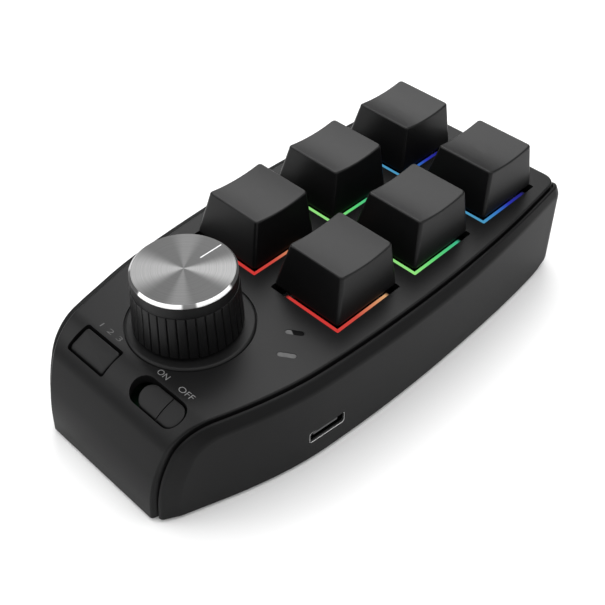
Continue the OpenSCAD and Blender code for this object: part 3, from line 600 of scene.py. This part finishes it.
def bevel_material():
    """Turned edge, painted bright and dark in stretches that stand for the studio's reflections in
    it.
    """
    mat, tree, shader, coords = node_material("bevel_metal")
    turn = round_knob(tree, coords)[1]
    light, soft, mid, dark = grey(0.95), grey(0.5), grey(0.17), grey(0.05)
    # Painted reflections of the lamps, by angle round the knob, set in the base colour.
    painted_reflections = [
        (-180, mid), (-150, soft), (-135, soft), (-131, dark), (-96, dark), (-94, light),
        (-43.5, light), (-41.5, mid), (-28.5, mid), (-26.5, light), (15.5, light), (19, dark),
        (180, mid),
    ]
    tone = ramp(tree, turn, [((angle + 180) / 360, colour) for angle, colour in painted_reflections])
    sheen = mottle(tree, noise(tree, coords, METAL_SCALE, 2.0), grey(0.4), grey(0.46))
    tree.links.new(tone, shader.inputs["Base Color"])
    tree.links.new(sheen, shader.inputs["Roughness"])
    set_inputs(shader, {"Metallic": 0.3})
    return mat


def port_material():
    """Metal with a painted highlight at the port's mouth and painted shade inside."""
    mat, tree, shader, coords = node_material("port_metal")
    painted_highlight_and_shade = ramp(tree, attribute(tree, "mouth"), [(0.9, grey(0.01)), (0.99, grey(0.55))])
    sheen = mottle(tree, noise(tree, coords, METAL_SCALE, 2.0), grey(0.32), grey(0.38))
    tree.links.new(painted_highlight_and_shade, shader.inputs["Base Color"])
    tree.links.new(sheen, shader.inputs["Roughness"])
    set_inputs(shader, {"Metallic": 1.0})
    return mat


def guide_material():
    """Light along a guide: its colour runs along the body and it fades towards the arms' ends."""
    mat, tree, shader, coords = node_material("light")
    span = [y * MM for y in GLOW_SPAN]
    hue = ramp(tree, map_range(tree, split_axes(tree, coords)["Y"], span), [
        (0.0, (0.68, 0.035, 0.03)),
        (0.1, (0.66, 0.07, 0.05)),
        (0.25, (0.82, 0.45, 0.2)),
        (0.38, (0.33, 0.86, 0.23)),
        (0.5, (0.12, 0.74, 0.2)),
        (0.62, (0.045, 0.54, 0.28)),
        (0.77, (0.07, 0.34, 0.58)),
        (0.85, (0.035, 0.2, 0.6)),
        (0.92, (0.018, 0.03, 0.46)),
        (1.0, (0.012, 0.01, 0.2)),
    ])
    fading = [(0.0, grey(0.9)), (0.94, grey(0.86)), (1.0, grey(0))]
    base = mottle(tree, noise(tree, coords, 2400.0), grey(0.004), grey(0.01))
    tree.links.new(hue, shader.inputs["Emission Color"])
    tree.links.new(ramp(tree, attribute(tree, "reach"), fading), shader.inputs["Emission Strength"])
    tree.links.new(base, shader.inputs["Base Color"])
    set_inputs(shader, {"Roughness": 0.5, "Specular IOR Level": 0.1})
    return mat


def lens_material(name, dark_from):
    """Smoked lens, lit from one end up to a slanting line."""
    mat, tree, shader, coords = node_material(name)
    light = mottle(tree, noise(tree, coords, 900.0, 2.0), grey(0.10), grey(0.125))
    edge = ramp(tree, attribute(tree, "along"), [
        (dark_from, grey(0)), (min(1, dark_from + 0.05), grey(1)),
    ])
    mix = tree.nodes.new("ShaderNodeMix")
    mix.data_type = "RGBA"
    tree.links.new(edge, mix.inputs["Factor"])
    tree.links.new(light, mix.inputs["A"])
    mix.inputs["B"].default_value = (0.001, 0.001, 0.001, 1)
    tree.links.new(mix.outputs["Result"], shader.inputs["Base Color"])
    set_inputs(shader, {"Roughness": 0.4, "Specular IOR Level": 0.03})
    return mat


cover_mat = fade_gloss(moulded("cover_plastic", (0.0060, 0.0060, 0.0062), 0.38), 0.08, 0.155)
shell_mat = moulded("shell_plastic", (0.0060, 0.0060, 0.0062), 0.45, specular=0.09)
key_mat = moulded("key_plastic", (0.0040, 0.0040, 0.0042), 0.34, specular=0.205)
band_mat = moulded("knob_plastic", (0.0045, 0.0045, 0.0047), 0.36, specular=0.17)
control_mat = moulded("control_plastic", (0.0065, 0.0065, 0.0067), 0.44, specular=0.17)
black_mat = moulded("black_plastic", (0.008, 0.008, 0.009), 0.5, specular=0.2)
stem_mat = moulded("stem_plastic", (0.05, 0.006, 0.006), 0.45, specular=0.2)
rubber_mat = moulded("rubber", (0.012, 0.012, 0.012), 0.8, grain=0.06, specular=0.2)
steel_mat = moulded("steel", (0.42, 0.43, 0.44), 0.36, metallic=1.0, spread=0.05)
board_mat = moulded("board", (0.006, 0.035, 0.014), 0.5, spread=0.25, specular=0.2)
foil_mat = moulded("battery_foil", (0.5, 0.51, 0.53), 0.32, metallic=1.0)
pointer_mat = moulded("pointer_metal", (0.72, 0.72, 0.73), 0.55, specular=0.2)
print_mat = moulded("print_grey", (0.19, 0.19, 0.19), 0.6, specular=0.2)
faint_mat = moulded("print_faint", (0.11, 0.11, 0.11), 0.6, specular=0.2)
tongue_mat = moulded("tongue_plastic", (0.06, 0.06, 0.063), 0.45)
disc_mat = spun_metal_painted_highlights()
bevel_mat = bevel_material()
port_mat = port_material()
light_mat = guide_material()


# Pieces

def dress(obj, material, body, slot_name, *nodes):
    obj.data.materials.clear()
    obj.data.materials.append(material)
    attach(obj, body)
    if nodes:
        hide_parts(*nodes)


def cover_ring(station):
    """One section of the cover: the rounded edges with the deck between them, then the underside."""
    right = []
    for k in range(5):
        a = QUARTER * k / 4
        right.append(station.place(-EDGE + EDGE * math.sin(a), EDGE - EDGE * math.cos(a)))
    right.append(station.place(0, COVER_WALL))
    left = [Vector((-p.x, p.y, p.z)) for p in right]
    return left[::-1] + right


def cover_openings():
    tools = bmesh.new()
    low, high = TOP_Z - COVER_WALL - 1, TOP_Z + 1
    for place in KEY_PLACES:
        prism(tools, moved(rounded_box(2 * GUIDE, 2 * GUIDE, 0.3), *place), low, high)
    hole = rounded_box(*(side + 2 * BUTTON_GAP for side in BUTTON_SIZE), BUTTON_CORNER)
    prism(tools, moved(hole, *BUTTON), CURVED_CUT_Z, high)
    prism(tools, moved(stadium(SLIDE_OPENING, SLIDE_DEPTH), *SLIDE), CURVED_CUT_Z, high)
    for place in LENS_PLACES:
        prism(tools, moved(stadium(*LENS_SIZE), *place, LENS_TURN), low, high)
    prism(tools, circle(RECESS_RADIUS, 120, RING_CENTRE), TOP_Z - RING_HEIGHT, high)
    return tools


def cover_inside():
    """The far wall, and the bosses for the case screws."""
    bm = bmesh.new()
    right = []
    for k in range(7):
        a = math.radians(lerp(FAR_WALL_FROM, 90, k / 6))
        right.append((CORNER_X + CORNER_RADIUS * math.cos(a), CORNER_Y + CORNER_RADIUS * math.sin(a)))
    under_deck = TOP_Z - COVER_WALL
    prism(bm, right + [(-x, y) for x, y in right[::-1]], FLOOR_Z, under_deck + 0.1)
    bosses = [(PITCH / 2 + GUIDE + 1.5, ROWS[1] + PITCH / 2), (NEAR_HALF - 0.3, NEAR_Y + 21.4)]
    for side in (-1, 1):
        for x, y in bosses:
            prism(bm, circle(BOSS_RADIUS, 32, (side * x, y)), FLOOR_Z + 2, under_deck + 0.05)
    return new_object("cover_inside", bm)


def make_cover():
    bm = bmesh.new()
    sweep_to_strips(bm, [cover_ring(s) for s in COVER_STATIONS])
    cover = settle(new_object("cover", bm))
    cut(cover, cover_openings())
    cover = shade(joined("cover", [cover, cover_inside()]))
    dress(cover, cover_mat, "root", "cover_plastic", "top_cover")


def face_share(z):
    return (z - FLOOR_Z) / FACE_HEIGHT


def shell_ring(station, groove):
    """One section of a shell: its face from foot to crease, the bevel, the rim and the groove."""
    rim_inset = lerp(NEAR_RIM_DROP, RIM_DROP, station.share) + station.drop
    crease_inset = rim_inset + lerp(NEAR_BEVEL, BEVEL_HEIGHT, station.share)
    crease_z = station.place(0, crease_inset).z
    edge = station.place(0, 0)
    change = FAR_CHANGE * ramped(edge.y, *FAR_SPAN)
    foot_z = FLOOR_Z + foot_lift(edge)

    def face_point(z):
        out = lerp(FOOT_OFFSET + change, FACE_OFFSET - change, min(face_share(z), 1))
        p = station.place(out, crease_inset)
        return Vector((p.x, p.y, z))

    crease = face_point(crease_z)
    crease_low = face_point(crease_z - min(CREASE_SOFTNESS, (crease_z - FLOOR_Z) / 2))
    rim_out = station.place(GROOVE + RIM_WIDTH, rim_inset)
    rim_in = station.place(groove, rim_inset)
    rim_low = Vector((rim_in.x, rim_in.y, rim_in.z - min(RIM_SOFTNESS, rim_in.z - FLOOR_Z)))
    bevel_start, bevel_end = (crease.lerp(rim_out, share) for share in BEVEL_FLAT)

    ring = [face_point(foot_z)]
    ring += [bezier([crease_low, crease, bevel_start], t / 5) for t in range(6)]
    ring += [bezier([bevel_end, rim_out, rim_in, rim_low], t / 6) for t in range(7)]
    ring.append(Vector((rim_in.x, rim_in.y, foot_z)))
    return ring


def ledge_ring(station):
    outline = rectangle(LEDGE_GRIP, LEDGE_DROP, -LEDGE_REACH, LEDGE_DROP + LEDGE_THICKNESS)
    return [station.place(out, inset) for out, inset in outline]


def foot_ledge_ring(station):
    points = []
    for out, z in rectangle(LEDGE_GRIP, FLOOR_Z, -FOOT_LEDGE_REACH, FLOOR_Z + LEDGE_THICKNESS):
        p = station.place(out, FOOT_LEDGE_INSET)
        points.append(Vector((p.x, p.y, z)))
    return points


def port_frame():
    """Frame with the port's width along X, its height along Y and its axis outwards along Z."""
    slope = (half_width(PORT_Y + 1) - half_width(PORT_Y - 1)) / 2
    x = half_width(PORT_Y) + lerp(FOOT_OFFSET, FACE_OFFSET, face_share(PORT_Z)) - 0.1
    turn = Matrix.Rotation(-math.atan(slope), 4, "Z")
    axes = Matrix(((0, 0, 1, 0), (1, 0, 0, 0), (0, 1, 0, 0), (0, 0, 0, 1)))
    return Matrix.Translation((x, PORT_Y, PORT_Z)) @ turn @ axes


PORT = port_frame()


def along_port(bm, rings):
    """Skins rings of (outline, depth) that follow the port's axis."""
    return sweep(bm, [[PORT @ Vector((x, y, z)) for x, y in outline] for outline, z in rings])


def make_shell(name, side, groove, node):
    bm = bmesh.new()
    for rings in (
        [shell_ring(s, groove) for s in SHELL_STATIONS],
        [ledge_ring(s) for s in SHELL_STATIONS[2:]],
        [foot_ledge_ring(s) for s in SHELL_STATIONS[4:]],
    ):
        sweep(bm, [[Vector((side * p.x, p.y, p.z)) for p in ring] for ring in rings])
    shell = settle(new_object(name, bm))
    if side > 0:
        tools = bmesh.new()
        size = [side_length + PORT_FIT for side_length in PORT_SIZE]
        hole = rounded_box(*size, PORT_CORNER + PORT_FIT / 2)
        along_port(tools, [(hole, -3), (hole, 3)])
        cut(shell, tools)
    dress(shade(shell), shell_mat, "root", "shell_plastic", node)


def make_port():
    bm = bmesh.new()
    mouth = bm.verts.layers.float.new("mouth")
    rings = []
    for shrink, depth in (
        (0, -7.4), (0, -0.1), (PORT_LIP, 0), (PORT_WALL - PORT_LIP, 0), (PORT_WALL, -0.1),
        (PORT_WALL, PORT_BACK),
    ):
        size = [side - 2 * shrink for side in PORT_SIZE]
        rings.append((rounded_box(*size, PORT_CORNER - 0.8 * shrink), depth))
    # The mouth gets the painted highlight; the walls within it get the painted shade.
    for ring, (_, depth) in zip(along_port(bm, rings), rings):
        for v in ring:
            v[mouth] = 1 if depth > -0.2 else 0
    shell = shade(new_object("port_shell", bm), 50)
    dress(shell, port_mat, "root", "port_metal", "usb_shell")

    bm = bmesh.new()
    along_port(bm, [
        (rounded_box(width, height, 0.1, 3), depth)
        for width, height, depth in ((6.9, 0.7, PORT_BACK), (6.9, 0.7, -0.9), (6.5, 0.5, -0.6))
    ])
    tongue = shade(new_object("port_tongue", bm))
    dress(tongue, tongue_mat, "root", "black_plastic", "usb_tongue")


def cap_ring(width, depth, lean, z, r, dish):
    """A keycap's section, with points along its sides so that the dish can bend them."""
    outline = rounded_box(width, depth, r, CAP_CORNER_STEPS)
    ring = []
    for i, (a, b) in enumerate(zip(outline, outline[1:] + outline[:1])):
        straight = i % (CAP_CORNER_STEPS + 1) == CAP_CORNER_STEPS
        parts = 8 if straight else 1
        for k in range(parts):
            x, y = a[0] + (b[0] - a[0]) * k / parts, a[1] + (b[1] - a[1]) * k / parts
            drop = dish * DISH_DEPTH * max(0, 1 - (y / (CAP_TOP[1] / 2)) ** 2)
            ring.append(Vector((x, y + lean, z - drop)))
    return ring


def cap_outside():
    """Sides from the foot to the shoulder, the rounded edge, and the dished top."""
    rings = []
    for t in (-CAP_FOOT / CAP_HEIGHT, 0, 0.5, 1):
        grown = max(0, t)
        width, depth = lerp(CAP_BASE, CAP_SHOULDER[0], grown), lerp(CAP_BASE, CAP_SHOULDER[1], grown)
        z = (CAP_HEIGHT - CAP_EDGE) * t
        ring = cap_ring(width, depth, CAP_LEAN * grown, z, CAP_CORNER, SHOULDER_DISH * grown)
        rings.append([v + CAP_BASE_SHIFT * (1 - grown) for v in ring])
    for k in range(1, 6):
        a = QUARTER * k / 5
        off = CAP_EDGE_SPREAD * (1 - math.cos(a))
        z = CAP_HEIGHT - CAP_EDGE + CAP_EDGE * math.sin(a)
        size = [side - off for side in CAP_SHOULDER]
        rings.append(cap_ring(*size, CAP_LEAN, z, CAP_CORNER, lerp(SHOULDER_DISH, 1, k / 5)))
    for off in (0.5, 3, 5.5, 8, 10.5, 12):
        size = [side - CAP_EDGE_SPREAD - off for side in CAP_SHOULDER]
        rings.append(cap_ring(*size, CAP_LEAN, CAP_HEIGHT, CAP_TOP_CORNER, 1))
    return rings


def cap_inside():
    rings = []
    for t in (-CAP_FOOT / CAP_HEIGHT, 1):
        grown = max(0, t)
        size = [CAP_BASE - CAP_WALLS + (side - CAP_BASE) * grown for side in CAP_TOP]
        z = (CAP_HEIGHT - CAP_ROOF) * t
        rings.append(cap_ring(*size, CAP_LEAN * grown, z, CAP_TOP_CORNER, 0))
    return rings


def make_post():
    """Post under a keycap, with the cross-shaped socket for the switch's stem."""
    bm = bmesh.new()
    prism(bm, circle(POST_RADIUS, 40), POST_FOOT, POST_TOP)
    post = new_object("post", bm)
    tools = bmesh.new()
    for w, d in ((SOCKET_LENGTH, SOCKET_WIDTH), (SOCKET_WIDTH, SOCKET_LENGTH)):
        bar = rectangle(-w / 2, -d / 2, w / 2, d / 2)
        prism(tools, bar, POST_FOOT - 1, POST_FOOT + SOCKET_DEPTH)
    cut(post, tools)
    return post


def make_keycap(index, place):
    bm = bmesh.new()
    outside = sweep(bm, cap_outside(), closed_ends=False)
    bm.faces.new(outside[-1])
    inside = sweep(bm, cap_inside(), closed_ends=False, flip=True)
    bm.faces.new(inside[-1][::-1])
    outer, inner = outside[0], inside[0]
    for k in range(len(outer)):
        n = (k + 1) % len(outer)
        bm.faces.new([outer[k], outer[n], inner[n], inner[k]])
    cap = new_object(f"key_{index}_cap", bm)
    cap = joined(f"key_{index}_cap", [cap, make_post()])
    cap.data.transform(Matrix.Translation(Vector((*place, CAP_Z)) * MM))
    dress(shade(cap, 40), key_mat, f"key_{index}", "key_plastic", f"keycap_{index}")


def guide_path():
    """An L-shaped edge as (x, y, inward x, inward y, share of the way to an arm's end)."""
    side, bend = GUIDE, GUIDE_BEND
    path = []
    for k in range(13):
        path.append((side - FRONT_ARM + (FRONT_ARM - bend) * k / 12, -side, 0, 1, 1 - k / 12))
    for k in range(1, 6):
        s, c = math.sin(QUARTER * k / 6), math.cos(QUARTER * k / 6)
        path.append((side - bend + bend * s, -side + bend - bend * c, -s, c, 0))
    for k in range(13):
        path.append((side, -side + bend + (SIDE_ARM - bend) * k / 12, -1, 0, k / 12))
    return path


def make_guides(index, place):
    """Two L-shaped edges of light, each with a rounded outer corner and a chamfered top."""
    bm = bmesh.new()
    reach = bm.verts.layers.float.new("reach")
    path = guide_path()
    shoulder = GUIDE_TOP - GUIDE_CHAMFER
    for turn, wide in ((1, LIGHT_WIDTH), (-1, HIDDEN_LIGHT_WIDTH)):
        section = [
            (0, GUIDE_FOOT), (0, shoulder), (GUIDE_CHAMFER, GUIDE_TOP),
            (wide - GUIDE_CHAMFER, GUIDE_TOP), (wide, shoulder), (wide, GUIDE_FOOT),
        ]
        grid = sweep(bm, [
            [(place[0] + turn * (x + nx * depth), place[1] + turn * (y + ny * depth), z)
             for depth, z in section]
            for x, y, nx, ny, _ in path
        ])
        for ring, step in zip(grid, path):
            for v, (_, z) in zip(ring, section):
                v[reach] = step[-1] if z == GUIDE_TOP else 2
    guide = shade(new_object(f"key_{index}_lights", bm))
    dress(guide, light_mat, "root", "light", f"light_guide_{index}")


def round_ring(r, z):
    return [(x, y, z) for x, y in circle(r, FLUTES * FACET_STEPS, KNOB)]


def fluted_ring(r, z, depth):
    """Ring of flat facets with a fine groove between each two."""
    ring = []
    steps = FLUTES * FACET_STEPS
    for k in range(steps):
        within = (k % FACET_STEPS) / FACET_STEPS
        away = min(within, 1 - within) * 2
        facet = math.cos(math.pi / FLUTES) / math.cos(2 * math.pi / FLUTES * (within - 0.5))
        groove = max(0, 1 - away / FLUTE_WIDTH)
        a = 2 * math.pi * k / steps
        rr = r * (1 - (1 - facet) * min(1, depth * 4)) - groove * depth
        ring.append((KNOB.x + rr * math.cos(a), KNOB.y + rr * math.sin(a), z))
    return ring


def make_knob_body():
    """Smooth band over a fluted skirt."""
    rings = [round_ring(WELL_RADIUS, WELL_ROOF), round_ring(WELL_RADIUS, KNOB_FOOT)]
    rings.append(fluted_ring(SKIRT_RADIUS - 0.2, KNOB_FOOT, 0.3))
    rings.append(fluted_ring(SKIRT_RADIUS - 0.04, KNOB_FOOT + 0.12, FLUTE_DEPTH))
    for t in (0.25, 0.5, 0.75, 0.965):
        r, z = lerp(SKIRT_RADIUS, SKIRT_TOP_RADIUS, t), lerp(KNOB_FOOT, SKIRT_TOP, t)
        rings.append(fluted_ring(r, z, FLUTE_DEPTH))
    rings.append(fluted_ring(SKIRT_TOP_RADIUS - 0.03, SKIRT_TOP - 0.04, 0.2))
    for r, z in (
        (BAND_RADIUS + 0.08, SKIRT_TOP), (BAND_RADIUS, SKIRT_TOP + 0.02),
        (BAND_RADIUS + 0.02, SKIRT_TOP + 0.2), (BAND_RADIUS, SKIRT_TOP + 1.2),
        (BAND_RADIUS - 0.01, CAP_SEAT - 0.1), (BAND_RADIUS - 0.1, CAP_SEAT),
    ):
        rings.append(round_ring(r, z))
    bm = bmesh.new()
    sweep(bm, rings)
    body = shade(new_object("knob_body", bm), 24)
    dress(body, band_mat, "knob", "knob_plastic", "knob_body")


def make_knob_bevel():
    bm = bmesh.new()
    lathe(bm, [
        (DISC_RADIUS, CAP_SEAT), (BEVEL_RADIUS - 0.04, CAP_SEAT), (BEVEL_RADIUS, CAP_SEAT + 0.06),
        (BEVEL_RADIUS, KNOB_TOP - 0.48), (BEVEL_RADIUS - 0.03, KNOB_TOP - 0.43),
        (DISC_RADIUS + 0.04, KNOB_TOP - 0.02), (DISC_RADIUS, KNOB_TOP),
    ], KNOB, 192)
    dress(shade(new_object("knob_bevel", bm), 10), bevel_mat, "knob", "knob_metal")


def make_knob_cap():
    """Disc on top of the knob, and the pointer let into it."""
    pointer = moved(stadium(*POINTER_SIZE), *POINTER_PLACE, QUARTER)
    low = KNOB_TOP - POINTER_DEPTH
    bm = bmesh.new()
    prism(bm, circle(DISC_RADIUS, 192, KNOB), CAP_SEAT, KNOB_TOP)
    cap = new_object("knob_cap", bm)
    tools = bmesh.new()
    prism(tools, pointer, low, KNOB_TOP + 1)
    cut(cap, tools)
    dress(shade(cap, 22), disc_mat, "knob", "knob_metal", "knob_cap")

    bm = bmesh.new()
    prism(bm, pointer, low, KNOB_TOP - 0.02)
    dress(shade(new_object("knob_pointer", bm)), pointer_mat, "knob", "knob_metal")


def make_knob_ring():
    low, high = TOP_Z - RING_HEIGHT, TOP_Z + RING_HEIGHT
    bm = bmesh.new()
    lathe(bm, [
        (RING_HOLE, low), (RING_RADIUS, low), (RING_RADIUS, high - 0.5),
        (RING_RADIUS - 0.05, high - 0.32), (RING_RADIUS - 0.18, high - 0.17),
        (RING_RADIUS - 0.4, high - 0.05), (RING_RADIUS - 0.7, high),
        (RING_RADIUS - 1.5, high - 0.03), (RING_HOLE, high - 0.05),
    ], RING_CENTRE)
    ring = shade(new_object("knob_ring", bm), 30)
    dress(ring, control_mat, "root", "knob_plastic", "knob_ring")


def crowned(bm, foot, foot_z, edges, centre, shares):
    """Skins a control from its foot to a top that follows the cover's surface.

    edges are (outline, drop below the surface) round its rim; shares shrink the last of them.
    """
    last, depth = edges[-1]
    edges = edges + [(shrunk(last, centre, share), depth) for share in shares]
    rings = [[(x, y, foot_z) for x, y in foot]]
    for outline, drop in edges:
        rings.append([(x, y, surface_z(y) - drop) for x, y in outline])
    sweep(bm, rings)


def leg_and_clip(bm, centre, leg_half, clip_half, leg_z, foot_z):
    """The leg that works the switch, and the bar that holds the control under the cover."""
    leg = rectangle(-leg_half, -leg_half, leg_half, leg_half)
    clip = rectangle(-clip_half, 0, clip_half, CLIP_DEPTH)
    prism(bm, moved(leg, *centre), leg_z, foot_z + LEG_OVERLAP)
    prism(bm, moved(clip, *centre), foot_z, foot_z + CLIP_THICKNESS)


def make_button():
    def outline(shrink):
        size = [side - 2 * shrink for side in BUTTON_SIZE]
        return moved(rounded_box(*size, BUTTON_CORNER), *BUTTON)

    rim = ((0.1, 0.57), (0.16, 0.35), (0.26, 0.25), (0.44, 0.21))
    edges = [(outline(shrink), drop) for shrink, drop in rim]
    bm = bmesh.new()
    crowned(bm, outline(0.1), BUTTON_FOOT, edges, BUTTON, (0.8, 0.48, 0.192, 0.0384, 0.00192))
    leg_and_clip(bm, BUTTON, BUTTON_LEG_HALF, BUTTON_CLIP_HALF, BUTTON_LEG, BUTTON_FOOT)
    button = shade(new_object("mode_button", bm), 32)
    dress(button, control_mat, "layer_key", "cover_plastic", "layer_button")


def make_slider():
    centre = (SLIDE[0] + (SLIDE_OPENING - SLIDE_LENGTH) / 2 - SLIDE_GAP, SLIDE[1])
    size = (SLIDE_LENGTH, SLIDE_DEPTH - 2 * SLIDE_GAP)

    def outline(shrink):
        return moved(stadium(size[0] - 2 * shrink, size[1] - 2 * shrink, 16), *centre)

    edges = [(outline(off), drop) for off, drop in ((0, 0.65), (0.05, 0.5), (0.14, 0.42), (0.3, 0.4))]
    bm = bmesh.new()
    crowned(bm, outline(0), SLIDE_FOOT, edges, centre, (0.85, 0.65, 0.45, 0.25, 0.05))
    slider = new_object("power_slide", bm)

    mark_x = centre[0] + SLIDE_MARK_PLACE
    mark = rectangle(mark_x, -SLIDE_MARK_DEPTH, mark_x + SLIDE_MARK_WIDTH, 1)
    rings = []
    for k in range(13):
        y = SLIDE[1] - 3 + k * 0.5
        rings.append([(x, y, surface_z(y) + height) for x, height in mark])
    tools = bmesh.new()
    sweep(tools, rings)
    cut(slider, tools)

    extra = bmesh.new()
    leg_and_clip(extra, centre, SLIDE_LEG_HALF, SLIDE_CLIP_HALF, SLIDE_LEG, SLIDE_FOOT)
    slider = shade(joined("power_slide", [slider, new_object("slide_leg", extra)]), 32)
    dress(slider, control_mat, "power_key", "cover_plastic", "power_slider")


def make_lens(index, place, dark_from):
    bm = bmesh.new()
    along = bm.verts.layers.float.new("along")
    levels = [(0.03, LENS_FOOT), (0.03, TOP_Z - 0.12), (0.1, TOP_Z - 0.04), (0.25, TOP_Z - 0.03)]
    outlines = [stadium(*(side - 2 * shrink for side in LENS_SIZE)) for shrink, _ in levels]
    grid = sweep_to_strips(bm, [
        [(x, y, z) for x, y in moved(outline, *place, LENS_TURN)]
        for outline, (_, z) in zip(outlines, levels)
    ])
    for ring, outline in zip(grid, outlines):
        for v, (x, y) in zip(ring, outline):
            v[along] = (x + LENS_SLANT * y) / LENS_SIZE[0] + 0.5
    lens = shade(new_object(f"lens_{index}", bm))
    dress(lens, lens_material(f"lens_{index}", dark_from), "root", "lens", "indicator_lenses")


def make_print(name, text, x, y, size, width, material):
    """Flat lettering on the deck, stretched to a width."""
    curve = bpy.data.curves.new(name, "FONT")
    curve.body = text
    curve.size = size * MM
    curve.extrude = PRINT_THICKNESS * MM
    curve.offset = PRINT_OFFSET * MM
    curve.align_x = "CENTER"
    curve.align_y = "CENTER"
    made = link_object(name, curve)
    mesh = evaluated_mesh(made)
    bpy.data.objects.remove(made)
    xs = [v.co.x for v in mesh.vertices]
    ys = [v.co.y for v in mesh.vertices]
    scale = width * MM / (max(xs) - min(xs))
    middle = ((max(xs) + min(xs)) / 2, (max(ys) + min(ys)) / 2)
    for v in mesh.vertices:
        px = x + (v.co.x - middle[0]) * scale / MM
        py = y + (v.co.y - middle[1]) / MM
        v.co = Vector((px, py, surface_z(py) + PRINT_LIFT + v.co.z / MM)) * MM
    dress(link_object(name, mesh), material, "root", "light")


NODE_LOOKS = {
    "bottom_cover": (black_mat, "shell_plastic"),
    "case_screws": (steel_mat, "steel"),
    "rubber_feet": (rubber_mat, "rubber"),
    "switch_plate": (steel_mat, "steel"),
    "main_board": (board_mat, "board"),
    "usb_board": (board_mat, "board"),
    "battery": (foil_mat, "battery_foil"),
    "encoder_base": (steel_mat, "steel"),
    "encoder_shaft": (steel_mat, "steel"),
    "encoder_plunger": (print_mat, "black_plastic"),
    "encoder_nut": (steel_mat, "steel"),
    "layer_switch": (black_mat, "black_plastic"),
    "power_switch": (steel_mat, "steel"),
}
KIND_LOOKS = {
    "switch_stem": (stem_mat, "stem_plastic"),
    "switch_spring": (steel_mat, "steel"),
    "switch_top": (black_mat, "black_plastic"),
    "switch_base": (black_mat, "black_plastic"),
}


def paint_nodes():
    for name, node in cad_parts.items():
        look = NODE_LOOKS.get(name) or KIND_LOOKS.get(name.rsplit("_", 1)[0])
        if look:
            node.data.materials.clear()
            node.data.materials.append(look[0])


make_cover()
make_shell("shell_right", 1, GROOVE, "side_shell_right")
make_shell("shell_left", -1, LEFT_GROOVE, "side_shell_left")
make_port()
for number, key_place in enumerate(KEY_PLACES, 1):
    make_keycap(number, key_place)
    make_guides(number, key_place)
make_knob_body()
make_knob_bevel()
make_knob_cap()
make_knob_ring()
make_button()
make_slider()
for number, (lens_place, lens_dark_from) in enumerate(zip(LENS_PLACES, LENS_DARK_FROM), 1):
    make_lens(number, lens_place, lens_dark_from)
make_print("print_on", "ON", 5.6, -47.25, 1.9, 2.9, print_mat)
make_print("print_off", "OFF", 12.35, -47.25, 1.9, 4.0, print_mat)
make_print("print_numbers", "1 2 3", -10.6, -47.3, 1.7, 6.4, faint_mat)
paint_nodes()


# Stage

def make_floor():
    bm = bmesh.new()
    bmesh.ops.create_grid(bm, x_segments=24, y_segments=24, size=2600)
    floor = new_object("floor", bm)
    mat, tree, shader, coords = node_material("floor")
    tone = mottle(tree, noise(tree, coords, 3.0), grey(0.91), grey(0.92))
    tree.links.new(tone, shader.inputs["Base Color"])
    set_inputs(shader, {"Roughness": 0.9, "Specular IOR Level": 0.1})
    floor.data.materials.append(mat)


def make_world(surround_strength=0.22, backdrop_strength=1.0):
    """White surround: dim where it lights the scene, full where the camera sees it."""
    world = bpy.data.worlds.new("studio")
    world.use_nodes = True
    tree = world.node_tree
    surround = tree.nodes["Background"]
    backdrop = tree.nodes.new("ShaderNodeBackground")
    set_inputs(surround, {"Color": (1, 1, 1, 1), "Strength": surround_strength})
    set_inputs(backdrop, {"Color": (1, 1, 1, 1), "Strength": backdrop_strength})
    path = tree.nodes.new("ShaderNodeLightPath")
    mix = tree.nodes.new("ShaderNodeMixShader")
    tree.links.new(path.outputs["Is Camera Ray"], mix.inputs["Fac"])
    tree.links.new(surround.outputs["Background"], mix.inputs[1])
    tree.links.new(backdrop.outputs["Background"], mix.inputs[2])
    tree.links.new(mix.outputs["Shader"], tree.nodes["World Output"].inputs["Surface"])
    bpy.context.scene.world = world


def make_lamp(name, place, size, power, target=(0, 0, 20)):
    data = bpy.data.lights.new(name, "AREA")
    data.shape = "RECTANGLE"
    data.size, data.size_y = size[0] * MM, size[1] * MM
    data.energy = power
    lamp = link_object(name, data)
    lamp.location = Vector(place) * MM
    aim = (Vector(target) - Vector(place)) * MM
    lamp.rotation_mode = "QUATERNION"
    lamp.rotation_quaternion = aim.to_track_quat("-Z", "Y")


def make_camera():
    data = bpy.data.cameras.new("camera")
    data.sensor_width = SENSOR
    data.lens = SENSOR * FOCAL_PIXELS / PICTURE_PIXELS
    data.clip_start, data.clip_end = 0.005, 20
    camera = link_object("camera", data)
    a, e, roll = CAMERA_AZIMUTH, CAMERA_ELEVATION, CAMERA_ROLL
    back = Vector((math.sin(a) * math.cos(e), -math.cos(a) * math.cos(e), math.sin(e)))
    right = Vector((0, 0, 1)).cross(back).normalized()
    up = back.cross(right)
    turned_right = math.cos(roll) * right + math.sin(roll) * up
    turned_up = -math.sin(roll) * right + math.cos(roll) * up
    axes = Matrix((turned_right, turned_up, back)).transposed().to_4x4()
    camera.matrix_world = Matrix.Translation(Vector(CAMERA_PLACE) * MM) @ axes
    bpy.context.scene.camera = camera


make_floor()
make_world()
make_lamp("overhead", (0, 60, 620), (700, 700), 3.5, target=(0, 0, 0))
make_lamp("back", (-330, 343, 462), (420, 420), 2.0)
make_lamp("front", (-110, -510, 330), (1040, 300), 1.6)
make_lamp("left", (-430, -260, 470), (420, 320), 1.1)
make_lamp("right", (500, 160, 330), (1000, 300), 1.45)
make_camera()
bpy.context.scene.view_settings.view_transform = "Standard"
